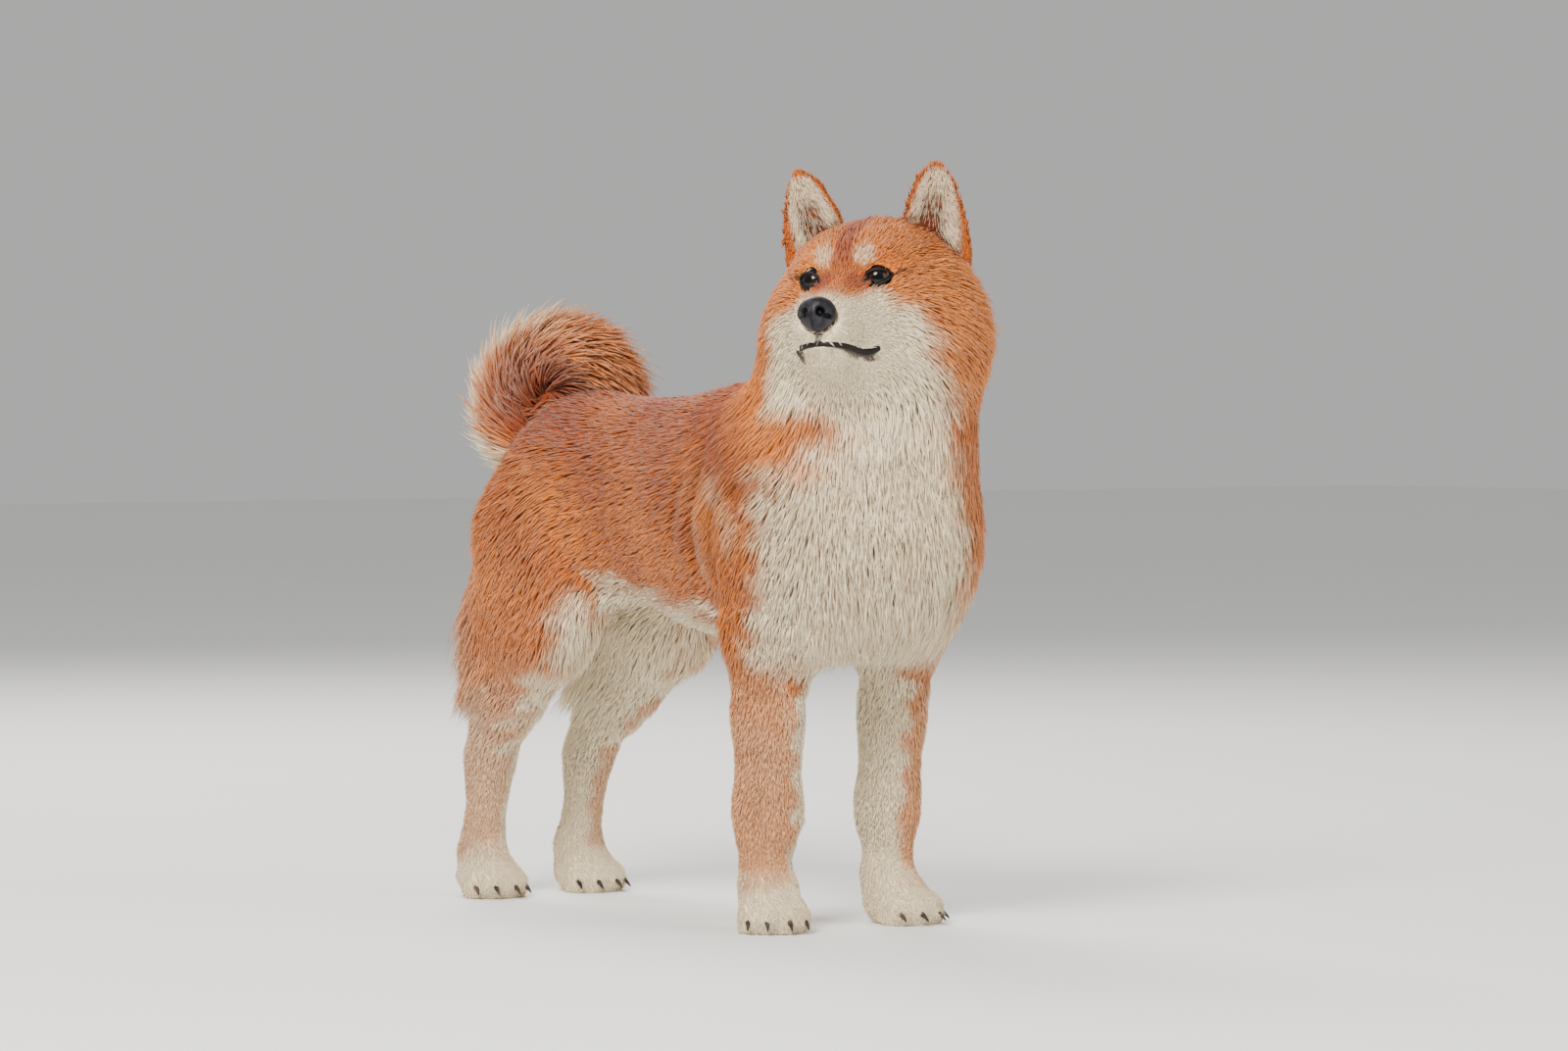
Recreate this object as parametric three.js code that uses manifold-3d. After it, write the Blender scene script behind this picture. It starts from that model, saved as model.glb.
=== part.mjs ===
// A life-size standing shiba inu. The whole animal is one smooth field of rounded forms, which is
// meshed region by region and parted into named pieces by thin cuts. Millimetres, +X forward, +Y to
// the animal's left, +Z up.
import * as THREE from "three";
import { mergeVertices } from "three/addons/utils/BufferGeometryUtils.js";
import Module from "manifold-3d";

const wasm = await Module();
wasm.setup();

const vec = (x, y, z) => new THREE.Vector3(x, y, z);
const degrees = THREE.MathUtils.degToRad;
const SIDES = { right: -1, left: 1 };

// Driving sizes of the animal, coat included
const backHeight = 398;
const chestHalfWidth = 88;
const loinHalfWidth = 64;
const frontPaw = vec(166, 58, 0);
const hindPaw = vec(-214, 47, 0);
const headCentre = vec(225, -14, 473);
const headTurn = -60;
const headLift = 3;
const headTilt = 2.5;
const eyeRadius = 12;
const eyeFront = vec(44, 24, 1.5);
const eyeProud = 1.2;
const eyeOpening = { width: 21.5, height: 13 };
const noseCentre = vec(104, 0, -27);
const noseRadii = vec(12.5, 14.5, 12.7);
const eyeGaze = 20;
const eyeSlant = 12;
const lidThickness = 2.4;
const earHalfWidth = 30;
const clawSize = { radius: 2.6, length: 12 };
const seam = 0.3;
const bigBox = 2400;

// Materials
const coat = (colour) => new THREE.MeshStandardMaterial({ color: colour, roughness: 0.85, metalness: 0 });
const redCoat = coat(0xb8622c);
const creamCoat = coat(0xd9c7a4);
const darkLeather = new THREE.MeshStandardMaterial({ color: 0x1c1a1d, roughness: 0.45, metalness: 0 });
const wetEye = new THREE.MeshStandardMaterial({ color: 0x160c07, roughness: 0.08, metalness: 0 });

// A point of the head's own frame: x towards the nose, y to its left, z up, from the middle of the skull
const headFrame = new THREE.Matrix4().compose(
  headCentre,
  new THREE.Quaternion()
    .setFromAxisAngle(vec(0, 0, 1), degrees(headTurn))
    .multiply(new THREE.Quaternion().setFromAxisAngle(vec(0, 1, 0), degrees(-headLift)))
    .multiply(new THREE.Quaternion().setFromAxisAngle(vec(1, 0, 0), degrees(headTilt))),
  vec(1, 1, 1),
);
const identity = new THREE.Matrix4();

// A smooth join of two distances, rounded over the blend width
function blendTwo(a, b, width) {
  const h = Math.max(width - Math.abs(a - b), 0) / width;
  return Math.min(a, b) - (h * h * width) / 4;
}

// One field from many, folded together
function blend(width, fields) {
  return (x, y, z) => {
    let d = fields[0](x, y, z);
    for (let i = 1; i < fields.length; i++) d = blendTwo(d, fields[i](x, y, z), width);
    return d;
  };
}

// A rounded limb from one point to another, its radius changing evenly
function limb(from, to, fromRadius, toRadius, frame = identity) {
  const a = from.clone().applyMatrix4(frame);
  const along = to.clone().applyMatrix4(frame).sub(a);
  const lengthSquared = along.lengthSq();
  return (x, y, z) => {
    const px = x - a.x;
    const py = y - a.y;
    const pz = z - a.z;
    const t = Math.min(1, Math.max(0, (px * along.x + py * along.y + pz * along.z) / lengthSquared));
    const gap = Math.hypot(px - along.x * t, py - along.y * t, pz - along.z * t);
    return gap - fromRadius - (toRadius - fromRadius) * t;
  };
}

// An oval mass with its three radii, pitched nose-up about its side axis, then turned about the vertical
function oval(centre, radii, { pitch = 0, turn = 0, roll = 0, frame = identity } = {}) {
  const place = frame.clone().multiply(
    new THREE.Matrix4().compose(
      centre,
      new THREE.Quaternion()
        .setFromAxisAngle(vec(0, 0, 1), degrees(turn))
        .multiply(new THREE.Quaternion().setFromAxisAngle(vec(0, 1, 0), degrees(-pitch)))
        .multiply(new THREE.Quaternion().setFromAxisAngle(vec(1, 0, 0), degrees(roll))),
      vec(1, 1, 1),
    ),
  );
  const m = place.clone().invert().elements;
  const { x: rx, y: ry, z: rz } = radii;
  return (x, y, z) => {
    const u = (m[0] * x + m[4] * y + m[8] * z + m[12]) / rx;
    const v = (m[1] * x + m[5] * y + m[9] * z + m[13]) / ry;
    const w = (m[2] * x + m[6] * y + m[10] * z + m[14]) / rz;
    const k0 = Math.hypot(u, v, w);
    const k1 = Math.hypot(u / rx, v / ry, w / rz);
    return k1 > 0 ? (k0 * (k0 - 1)) / k1 : -Math.min(rx, ry, rz);
  };
}

// The trunk: ribs, forechest, loin, belly and croup
function trunkField() {
  const forms = [
    oval(vec(92, 0, backHeight - 98), vec(128, chestHalfWidth - 6, 97), { pitch: 3 }),
    oval(vec(206, 0, 282), vec(78, chestHalfWidth - 8, 82)),
    limb(vec(104, 0, 346), vec(136, 0, 342), 52, 54),
    limb(vec(-122, 0, 324), vec(40, 0, 322), loinHalfWidth + 4, loinHalfWidth + 8),
    oval(vec(-15, 0, 286), vec(118, loinHalfWidth - 2, 56), { pitch: -6 }),
    oval(vec(-134, 0, 316), vec(66, 64, 72), { pitch: -10 }),
  ];
  for (const s of Object.values(SIDES)) {
    forms.push(oval(vec(176, s * 62, 288), vec(54, 36, 86), { pitch: 12 }));
    forms.push(oval(vec(-132, s * 52, 262), vec(66, 36, 84), { pitch: -16 }));
  }
  return blend(34, forms);
}

// One foreleg from the shoulder to the pastern, deeper from front to back than it is wide
function forelegField(s) {
  const elbow = vec(164, s * 60 + 2, 214);
  const wrist = vec(frontPaw.x - 8, s * (frontPaw.y - 2) + 1.5, 88);
  const pastern = vec(frontPaw.x - 8, s * frontPaw.y, 34);
  const mid = elbow.clone().lerp(wrist, 0.45);
  const fore = vec(6, 0, 0);
  return blend(18, [
    limb(vec(188, s * 64, 280), elbow, 38, 32),
    limb(elbow, mid, 31, 22),
    limb(mid.clone().add(fore), wrist.clone().add(fore), 20.5, 18),
    limb(mid.clone().sub(fore), wrist.clone().sub(fore), 20.5, 17.5),
    oval(wrist, vec(22, 20, 22)),
    limb(wrist, pastern, 18.5, 19),
  ]);
}

// One hind leg from the haunch to the rear pastern
function hindlegField(s) {
  const stifle = vec(-112, s * 60, 212);
  const shin = vec(-166, s * 54, 156);
  const hock = vec(hindPaw.x + 8, s * hindPaw.y, 106);
  const pastern = vec(hindPaw.x - 4, s * hindPaw.y, 34);
  return blend(20, [
    limb(vec(-130, s * 56, 282), stifle, 52, 36),
    limb(stifle, shin, 35, 23),
    limb(shin, hock, 23, 15),
    limb(vec(-172, s * 54, 222), vec(hock.x - 12, hock.y, hock.z + 6), 32, 9),
    limb(hock, pastern, 16.5, 17),
  ]);
}

// The place of one paw: its ankle on the floor, turned the way the toes point
function pawFrame(s, ankle, turn) {
  return new THREE.Matrix4().compose(
    vec(ankle.x, s * ankle.y, 0),
    new THREE.Quaternion().setFromAxisAngle(vec(0, 0, 1), degrees(turn)),
    vec(1, 1, 1),
  );
}

// Four toes to a paw: how far each stands aside and how far forward it reaches
const toes = [-18.5, -6.8, 6.8, 18.5].map((aside) => ({ aside, reach: Math.abs(aside) < 10 ? 24 : 15 }));

// One paw, its toes fanned about the way it points
function pawField(frame) {
  const forms = [
    oval(vec(0, 0, 16), vec(27, 23, 20), { frame }),
    limb(vec(-10, 0, 36), vec(4, 0, 22), 19, 20, frame),
  ];
  for (const { aside, reach } of toes)
    forms.push(oval(vec(reach, aside, 10.5), vec(17, 8.4, 15.5), { turn: aside * 0.6, pitch: -8, frame }));
  return blend(5, forms);
}

// The neck from the withers to the throat and nape
function neckField() {
  return blend(40, [
    limb(vec(150, 0, 316), vec(212, 2, 446), 86, 68),
    limb(vec(208, 4, 318), vec(234, -2, 414), 76, 66),
  ]);
}

// The head's broad forms in its own frame
function headField() {
  const frame = headFrame;
  const skull = [
    oval(vec(-14, 0, 2), vec(58, 62, 45), { frame }),
    oval(vec(13, 0, 12), vec(33, 40, 28), { frame }),
    limb(vec(-22, 0, -34), vec(16, 0, -40), 50, 34, frame),
  ];
  const muzzle = [
    limb(vec(40, 0, -18), vec(90, 0, -31), 27, 17, frame),
    limb(vec(20, 0, -50), vec(84, 0, -55), 28, 13, frame),
  ];
  for (const s of Object.values(SIDES)) {
    skull.push(oval(vec(-2, s * 48, -32), vec(42, 34, 42), { frame }));
    skull.push(oval(vec(22, s * 37, -22), vec(26, 22, 22), { frame }));
    skull.push(oval(vec(30, s * 21, 19), vec(12, 15, 7.5), { frame }));
    muzzle.push(limb(vec(50, s * 14, -32), vec(90, s * 9.5, -37), 23, 14.5, frame));
    muzzle.push(limb(vec(25, s * 18, -52), vec(80, s * 6, -55), 24, 12, frame));
  }
  return blend(14, [blend(22, skull), blend(7, muzzle)]);
}

// The tail's middle line: up from the croup, back, over, forward and down on the left side
const curl = {
  centre: vec(-192, 4, 388),
  plane: 18,
  fromRadius: 40,
  toRadius: 27,
  startAngle: -60,
  sweep: -350,
  drift: 62,
};
function tailPoint(t) {
  const angle = degrees(curl.startAngle + curl.sweep * t);
  const radius = curl.fromRadius + (curl.toRadius - curl.fromRadius) * t;
  const reach = Math.cos(angle) * radius;
  const aside = curl.drift * Math.max(0, t - 0.25) ** 1.5;
  const flat = vec(reach, aside, Math.sin(angle) * radius);
  return flat.applyAxisAngle(vec(0, 0, 1), degrees(curl.plane)).add(curl.centre);
}
function tailRadius(t) {
  const swell = Math.sin(Math.PI * Math.min(1, 0.08 + t * 0.85));
  return 22 + 13 * swell - 9 * Math.max(0, t - 0.8) * 5;
}
function tailField(from, to, swell = 0) {
  const steps = Math.max(2, Math.round((to - from) * 16));
  const forms = [];
  for (let i = 0; i < steps; i++) {
    const t0 = from + ((to - from) * i) / steps;
    const t1 = from + ((to - from) * (i + 1)) / steps;
    forms.push(limb(tailPoint(t0), tailPoint(t1), tailRadius(t0) + swell, tailRadius(t1) + swell));
  }
  return blend(6, forms);
}

// A closed shell between a near and a far strip of points for each level; both strips share their end points
function shellBetween(levels) {
  const positions = [];
  const triangles = [];
  const arc = levels[0].far.length - 1;
  const ring = 2 * arc;
  for (const { far, near } of levels) {
    for (let j = 0; j <= arc; j++) positions.push(...far[j].toArray());
    for (let j = arc - 1; j > 0; j--) positions.push(...near[j].toArray());
  }
  const nearAt = (base, j) => (j === 0 ? base : j === arc ? base + arc : base + ring - j);
  for (let i = 0; i + 1 < levels.length; i++)
    for (let j = 0; j < ring; j++) {
      const a = i * ring + j;
      const b = i * ring + ((j + 1) % ring);
      triangles.push(a, b, b + ring, a, b + ring, a + ring);
    }
  for (const [base, turned] of [[0, true], [(levels.length - 1) * ring, false]])
    for (let j = 0; j < arc; j++) {
      const quad = [base + j, base + j + 1, nearAt(base, j + 1), nearAt(base, j)];
      if (turned) quad.reverse();
      if (j < arc - 1) triangles.push(quad[0], quad[1], quad[2]);
      if (j > 0) triangles.push(quad[0], quad[2], quad[3]);
      if (j === arc - 1 && turned) triangles.push(quad[1], quad[2], quad[3]);
    }
  const geometry = new THREE.BufferGeometry();
  geometry.setAttribute("position", new THREE.Float32BufferAttribute(positions, 3));
  geometry.setIndex(triangles);
  return geometry;
}

// The corners, edges and faces of a lattice cell: an edge is the corner it starts from and its axis
const cornerAt = [0, 1, 2, 3, 4, 5, 6, 7].map((c) => [c & 1, (c >> 1) & 1, (c >> 2) & 1]);
const cellEdges = [];
const edgeNumber = cornerAt.map(() => []);
for (let corner = 0; corner < 8; corner++)
  for (let axis = 0; axis < 3; axis++)
    if (!cornerAt[corner][axis]) {
      edgeNumber[corner][axis] = cellEdges.length;
      cellEdges.push([corner, corner | (1 << axis)]);
    }
const cellFaces = [];
for (let axis = 0; axis < 3; axis++)
  for (const end of [0, 1]) {
    const on = ([a, b]) => cornerAt[a][axis] === end && cornerAt[b][axis] === end;
    cellFaces.push(cellEdges.map((edge, i) => (on(edge) ? i : -1)).filter((i) => i >= 0));
  }

// The edges of a cell that the surface crosses, sorted into the separate sheets that pass through the cell
function sheetsIn(at) {
  const sheetOf = cellEdges.map(([a, b], i) => (at[a] < 0 === at[b] < 0 ? -1 : i));
  const join = (p, q) => {
    const [from, to] = [sheetOf[q], sheetOf[p]];
    for (let i = 0; i < 12; i++) if (sheetOf[i] === from) sheetOf[i] = to;
  };
  for (const face of cellFaces) {
    const crossed = face.filter((i) => sheetOf[i] >= 0);
    if (crossed.length === 2) join(crossed[0], crossed[1]);
    if (crossed.length === 4)
      for (const p of crossed)
        for (const q of crossed) {
          const both = (corner) => p < q && cellEdges[q].includes(corner) && at[corner] < 0;
          const shared = cellEdges[p].find(both);
          if (shared !== undefined) join(p, q);
        }
  }
  return sheetOf;
}

// Surface nets: one vertex for each sheet in a cell, one quad for each lattice edge that the surface crosses.
// The lattice may be bent by a function that gives the place of each lattice point.
function meshField(field, low, high, cell, level = 0, place = vec) {
  const n = ["x", "y", "z"].map((c) => Math.ceil((high[c] - low[c]) / cell[c]));
  const [nx, ny, nz] = n;
  const stride = [1, nx + 1, (nx + 1) * (ny + 1)];
  const lattice = (i, j, k) => i + j * stride[1] + k * stride[2];
  const values = new Float32Array(lattice(nx, ny, nz) + 1);
  for (let k = 0; k <= nz; k++)
    for (let j = 0; j <= ny; j++)
      for (let i = 0; i <= nx; i++) {
        const rim = i * j * k === 0 || i === nx || j === ny || k === nz;
        const at = place(low.x + i * cell.x, low.y + j * cell.y, low.z + k * cell.z);
        const value = field(at.x, at.y, at.z) - level;
        values[lattice(i, j, k)] = rim ? Math.max(value, cell.x / 2) : value;
      }
  const vertexOf = new Int32Array(values.length * 12).fill(-1);
  const positions = [];
  const at = new Array(8);
  for (let k = 0; k < nz; k++)
    for (let j = 0; j < ny; j++)
      for (let i = 0; i < nx; i++) {
        cornerAt.forEach(([di, dj, dk], c) => {
          at[c] = values[lattice(i + di, j + dj, k + dk)];
        });
        const inside = at.filter((v) => v < 0).length;
        if (inside === 0 || inside === 8) continue;
        const sheetOf = sheetsIn(at);
        for (const sheet of new Set(sheetOf.filter((label) => label >= 0))) {
          const sum = [0, 0, 0];
          let count = 0;
          cellEdges.forEach(([a, b], edge) => {
            if (sheetOf[edge] !== sheet) return;
            const t = at[a] / (at[a] - at[b]);
            for (let c = 0; c < 3; c++) sum[c] += cornerAt[a][c] + (cornerAt[b][c] - cornerAt[a][c]) * t;
            vertexOf[lattice(i, j, k) * 12 + edge] = positions.length / 3;
            count++;
          });
          const found = place(
            low.x + (i + sum[0] / count) * cell.x,
            low.y + (j + sum[1] / count) * cell.y,
            low.z + (k + sum[2] / count) * cell.z,
          );
          positions.push(found.x, found.y, found.z);
        }
      }
  const triangles = [];
  for (let k = 0; k < nz; k++)
    for (let j = 0; j < ny; j++)
      for (let i = 0; i < nx; i++)
        for (let axis = 0; axis < 3; axis++) {
          const here = lattice(i, j, k);
          const u = (axis + 1) % 3;
          const v = (axis + 2) % 3;
          if ([i, j, k][u] === 0 || [i, j, k][v] === 0) continue;
          if (values[here] < 0 === values[here + stride[axis]] < 0) continue;
          const quad = [[1, 1], [0, 1], [0, 0], [1, 0]].map(([du, dv]) => {
            const cellAt = here - du * stride[u] - dv * stride[v];
            return vertexOf[cellAt * 12 + edgeNumber[(du << u) | (dv << v)][axis]];
          });
          if (values[here] >= 0) quad.reverse();
          triangles.push(quad[0], quad[1], quad[2], quad[0], quad[2], quad[3]);
        }
  const geometry = new THREE.BufferGeometry();
  geometry.setAttribute("position", new THREE.Float32BufferAttribute(positions, 3));
  geometry.setIndex(triangles);
  return geometry;
}

// A closed solid from any closed geometry, with its shared vertices merged
function solid(geometry) {
  const bare = new THREE.BufferGeometry().setAttribute("position", geometry.getAttribute("position").clone());
  if (geometry.index) bare.setIndex(geometry.index.clone());
  const merged = mergeVertices(bare, 1e-3);
  return new wasm.Manifold(
    new wasm.Mesh({
      numProp: 3,
      vertProperties: new Float32Array(merged.getAttribute("position").array),
      triVerts: new Uint32Array(merged.index.array),
    }),
  );
}

// All that lies on the far side of a plane, which faces along the normal, moved back by half a seam
function beyond(point, normal) {
  const facing = normal.clone().normalize();
  const box = new THREE.BoxGeometry(bigBox, bigBox, bigBox).translate(0, 0, bigBox / 2 + seam / 2);
  box.applyQuaternion(new THREE.Quaternion().setFromUnitVectors(vec(0, 0, 1), facing));
  box.translate(point.x, point.y, point.z);
  return solid(box);
}

// The part of a shape beyond every plane in a list, each a point and a facing
function cutTo(shape, planes) {
  return planes.reduce((left, [point, facing]) => left.intersect(beyond(point, facing)), shape);
}

// Six times the volume that a geometry's faces enclose, negative when they face inwards
function signedVolume(geometry) {
  const at = geometry.getAttribute("position");
  const corner = (i) => new THREE.Vector3().fromBufferAttribute(at, geometry.index.getX(i));
  let sum = 0;
  for (let i = 0; i < geometry.index.count; i += 3) sum += corner(i).dot(corner(i + 1).cross(corner(i + 2)));
  return sum;
}

// Turns every face of a geometry the other way
function turnInsideOut(geometry) {
  geometry.setIndex(Array.from(geometry.index.array).reverse());
}

// The largest closed surface of a shape
function largest(shape) {
  const bodies = shape.decompose();
  return bodies.reduce((best, body) => (body.volume() > best.volume() ? body : best), bodies[0]);
}

const model = new THREE.Group();
model.name = "shiba_inu";

// Adds one named piece to the model
function addPiece(name, shape, material) {
  const mesh = largest(shape).getMesh();
  const geometry = new THREE.BufferGeometry();
  geometry.setAttribute("position", new THREE.Float32BufferAttribute(mesh.vertProperties, 3));
  geometry.setIndex(new THREE.BufferAttribute(mesh.triVerts, 1));
  geometry.computeVertexNormals();
  const piece = new THREE.Mesh(geometry, material);
  piece.name = name;
  model.add(piece);
  return piece;
}

const flip = (plane) => [plane[0], plane[1].clone().negate()];
const box = (low, high) => ({ low, high });

// A point moved along a direction until it lies on a field's surface
function settle(field, from, direction) {
  const at = from.clone();
  const step = direction.clone().normalize();
  for (let i = 0; i < 60; i++) at.addScaledVector(step, field(at.x, at.y, at.z) * 0.8);
  return at;
}

// A tube through a list of points
function tube(points, radius, sides = 5, steps = 9) {
  const path = new THREE.CatmullRomCurve3(points);
  const round = new THREE.EllipseCurve(0, 0, radius, radius).getPoints(sides).slice(0, sides);
  const section = new THREE.Shape(round);
  return solid(new THREE.ExtrudeGeometry(section, { steps, extrudePath: path }));
}

// A ball with its three radii, placed and turned in the head's frame
function headBall(centre, radii, { turn = 0, pitch = 0, roll = 0, fineness = 14 } = {}) {
  const ball = new THREE.SphereGeometry(1, fineness, Math.round(fineness * 0.7));
  const way = new THREE.Euler(degrees(roll), degrees(-pitch), degrees(turn), "ZYX");
  ball.applyMatrix4(
    new THREE.Matrix4().compose(
      centre,
      new THREE.Quaternion().setFromEuler(way),
      radii,
    ),
  );
  return solid(ball.applyMatrix4(headFrame));
}

// The whole animal
const trunk = trunkField();
const neck = neckField();
const head = headField();
const foreleg = { right: forelegField(-1), left: forelegField(1) };
const hindleg = { right: hindlegField(-1), left: hindlegField(1) };
const pawTurn = { forepaw: { right: -30, left: 6 }, hindpaw: { right: -10, left: -4 } };
const frames = {};
const forepaw = {};
const hindpaw = {};
for (const [name, s] of Object.entries(SIDES)) {
  frames["forepaw_" + name] = pawFrame(s, frontPaw, pawTurn.forepaw[name]);
  frames["hindpaw_" + name] = pawFrame(s, hindPaw, pawTurn.hindpaw[name]);
  forepaw[name] = pawField(frames["forepaw_" + name]);
  hindpaw[name] = pawField(frames["hindpaw_" + name]);
}
const body = blend(26, [trunk, neck, foreleg.right, foreleg.left, hindleg.right, hindleg.left]);
const bodyAndHead = blend(22, [body, head]);

// Cuts between the pieces: a point and a facing
const floor = [vec(0, 0, -seam / 2), vec(0, 0, 1)];
const neckBase = [vec(158, 0, 350), vec(0.6, 0, 0.8)];
const throatCut = [vec(212, -6, 424), vec(0.3, -0.2, 0.93)];
const ribEnd = [vec(52, 0, 300), vec(-1, 0, 0)];
const loinEnd = [vec(-62, 0, 300), vec(-1, 0, 0)];
const legLine = (s, x, z) => [vec(x, s * 44, z), vec(0, s * 0.42, -0.91)];
const armCut = { right: legLine(-1, 130, 214), left: legLine(1, 130, 214) };
const thighCut = { right: legLine(-1, -120, 228), left: legLine(1, -120, 228) };

// Lattice cells, finer where the form is small
const cells = {
  trunk: vec(22, 17, 18),
  neck: vec(17, 17, 17),
  head: vec(8, 8, 8),
  arm: vec(15, 13, 16),
  forearm: vec(11, 10, 18),
  thigh: vec(17, 14, 17),
  hock: vec(10, 9, 18),
  paw: vec(8, 6.6, 7.5),
  tail: vec(12, 12, 12),
};

// The trunk, cut into chest, loin and rump
const trunkSpan = box(vec(-300, -150, 150), vec(340, 150, 560));
const trunkShape = solid(meshField(body, trunkSpan.low, trunkSpan.high, cells.trunk));
const offThighs = [flip(thighCut.right), flip(thighCut.left)];
const offArms = [flip(armCut.right), flip(armCut.left)];
addPiece("chest", cutTo(trunkShape, [flip(neckBase), flip(ribEnd), ...offArms]), creamCoat);
addPiece("loin", cutTo(trunkShape, [ribEnd, flip(loinEnd), ...offThighs]), redCoat);
addPiece("rump", cutTo(trunkShape, [loinEnd, ...offThighs]), redCoat);
const neckShape = solid(meshField(bodyAndHead, vec(40, -150, 250), vec(350, 150, 560), cells.neck));
addPiece("neck", cutTo(neckShape, [neckBase, flip(throatCut)]), redCoat);

// The head, meshed in its own frame with cells that grow away from the nose
const inHead = (x, y, z) => vec(x, y, z).applyMatrix4(headFrame);
const faceFront = 128;
const muzzleHeight = -30;
const spread = 0.018;
const headPlace = (a, b, c) =>
  inHead(
    faceFront - (Math.exp(0.0055 * (faceFront - a)) - 1) / 0.0055,
    Math.sinh(spread * b) / spread,
    muzzleHeight + Math.sinh(spread * c) / spread,
  );
const headLow = vec(-20, -80, -70);
const headHigh = vec(faceFront, 80, 70);
const meshHead = (level) => solid(meshField(bodyAndHead, headLow, headHigh, cells.head, level, headPlace));
let headShape = cutTo(meshHead(0), [throatCut]);

// The mouth: a groove between two lips, from under the nose back to each corner
const mouthHeights = [-50, -51, -54.5, -57, -53];
const mouthReach = [104, 97, 85, 70, 56];
const mouthSpread = [-2, 10, 17, 24, 33];
for (const s of Object.values(SIDES)) {
  const onFace = mouthHeights.map((z, i) => {
    const outside = inHead(mouthReach[i] + 14, s * mouthSpread[i] * 1.6, z);
    return settle(bodyAndHead, outside, inHead(55, 0, z + 8).sub(outside));
  });
  const shifted = (rise) => onFace.map((p) => p.clone().add(vec(0, 0, rise)));
  headShape = headShape.add(tube(shifted(2), 2.4)).add(tube(shifted(-2.2), 2.2));
  headShape = headShape.subtract(tube(onFace, 1.2, 4));
}

// The eyes in their sockets, each behind an upper and a lower lid
const eyes = {};
for (const [name, s] of Object.entries(SIDES)) {
  const look = new THREE.Quaternion().setFromAxisAngle(vec(0, 0, 1), degrees(s * eyeGaze));
  const gaze = vec(1, 0, 0).applyQuaternion(look);
  const outside = vec(eyeFront.x, s * eyeFront.y, eyeFront.z).addScaledVector(gaze, 40);
  const away = inHead(...outside.toArray()).sub(inHead(...outside.clone().sub(gaze).toArray()));
  const front = settle(bodyAndHead, inHead(...outside.toArray()), away.negate());
  const centre = front.applyMatrix4(headFrame.clone().invert()).addScaledVector(gaze, eyeProud - eyeRadius);
  const ball = (r, fineness) => headBall(centre, vec(r, r, r), { fineness });
  const slit = new THREE.Shape();
  slit.moveTo(-eyeOpening.width / 2, 0);
  slit.quadraticCurveTo(-2, eyeOpening.height, eyeOpening.width / 2, 0);
  slit.quadraticCurveTo(0, -eyeOpening.height, -eyeOpening.width / 2, 0);
  const opening = new THREE.ExtrudeGeometry(slit, { depth: 40, bevelEnabled: false, curveSegments: 4 });
  opening.rotateZ(degrees(s * eyeSlant)).rotateX(degrees(90)).rotateZ(degrees(90));
  opening.translate(eyeRadius * 0.45, 0, 0);
  opening.applyQuaternion(look).translate(centre.x, centre.y, centre.z).applyMatrix4(headFrame);
  headShape = headShape.add(ball(eyeRadius + lidThickness, 11)).subtract(solid(opening));
  headShape = headShape.subtract(ball(eyeRadius + seam * 1.5, 12));
  eyes[name] = ball(eyeRadius, 12);
}

// The nose, with a comma-shaped nostril on each side, on the tip of the muzzle
let nose = headBall(noseCentre, noseRadii, { pitch: 10, fineness: 12 });
for (const s of Object.values(SIDES)) {
  const nostril = vec(noseCentre.x + 9.5, s * 6.5, noseCentre.z - 1);
  nose = nose.subtract(headBall(nostril, vec(5, 2.6, 3.2), { turn: s * 40, roll: s * 25, fineness: 6 }));
  const wing = vec(noseCentre.x + 5, s * 11.5, noseCentre.z - 3);
  nose = nose.subtract(headBall(wing, vec(6, 3, 1.3), { turn: s * 50, fineness: 6 }));
}
const noseSocket = headBall(noseCentre, noseRadii.clone().addScalar(seam * 1.6), { pitch: 10, fineness: 12 });
headShape = headShape.subtract(noseSocket);
addPiece("head", headShape, redCoat);
addPiece("nose", nose, darkLeather);
for (const name of Object.keys(SIDES)) addPiece("eye_" + name, eyes[name], wetEye);

// The ears: upright cups that open forwards, closed at the foot and pointed at the tip
const earLevels = 7;
const earArc = 8;
for (const [name, s] of Object.entries(SIDES)) {
  const foot = vec(-12, s * 43, 26);
  const tip = vec(0, s * 57, 92);
  const across = vec(-4, s * 0.81 * earHalfWidth, -0.4 * earHalfWidth).normalize();
  const up = tip.clone().sub(foot);
  const back = across.clone().cross(up).normalize().multiplyScalar(-s);
  if (back.x > 0) back.negate();
  const levels = [];
  for (let i = 0; i <= earLevels; i++) {
    const t = (i / earLevels) * 0.97;
    const width = earHalfWidth * (1 - t ** 2) ** 0.85;
    const depth = 19 * (1 - t) + 2.5;
    const wall = 5 * (1 - t) + 1.4;
    const middle = foot.clone().addScaledVector(up, t).addScaledVector(across, 4 * (1 - t));
    const strip = (deep) => {
      const points = [];
      for (let j = 0; j <= earArc; j++) {
        const swing = Math.PI * (j / earArc - 0.5);
        const point = middle.clone().addScaledVector(across, Math.sin(swing) * width);
        points.push(inHead(...point.addScaledVector(back, Math.cos(swing) * deep).toArray()));
      }
      return points;
    };
    levels.push({ far: strip(depth), near: strip(depth - wall) });
  }
  const cup = shellBetween(levels);
  if (signedVolume(cup) < 0) turnInsideOut(cup);
  addPiece("ear_" + name, solid(cup).subtract(meshHead(seam)), redCoat);
}

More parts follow.
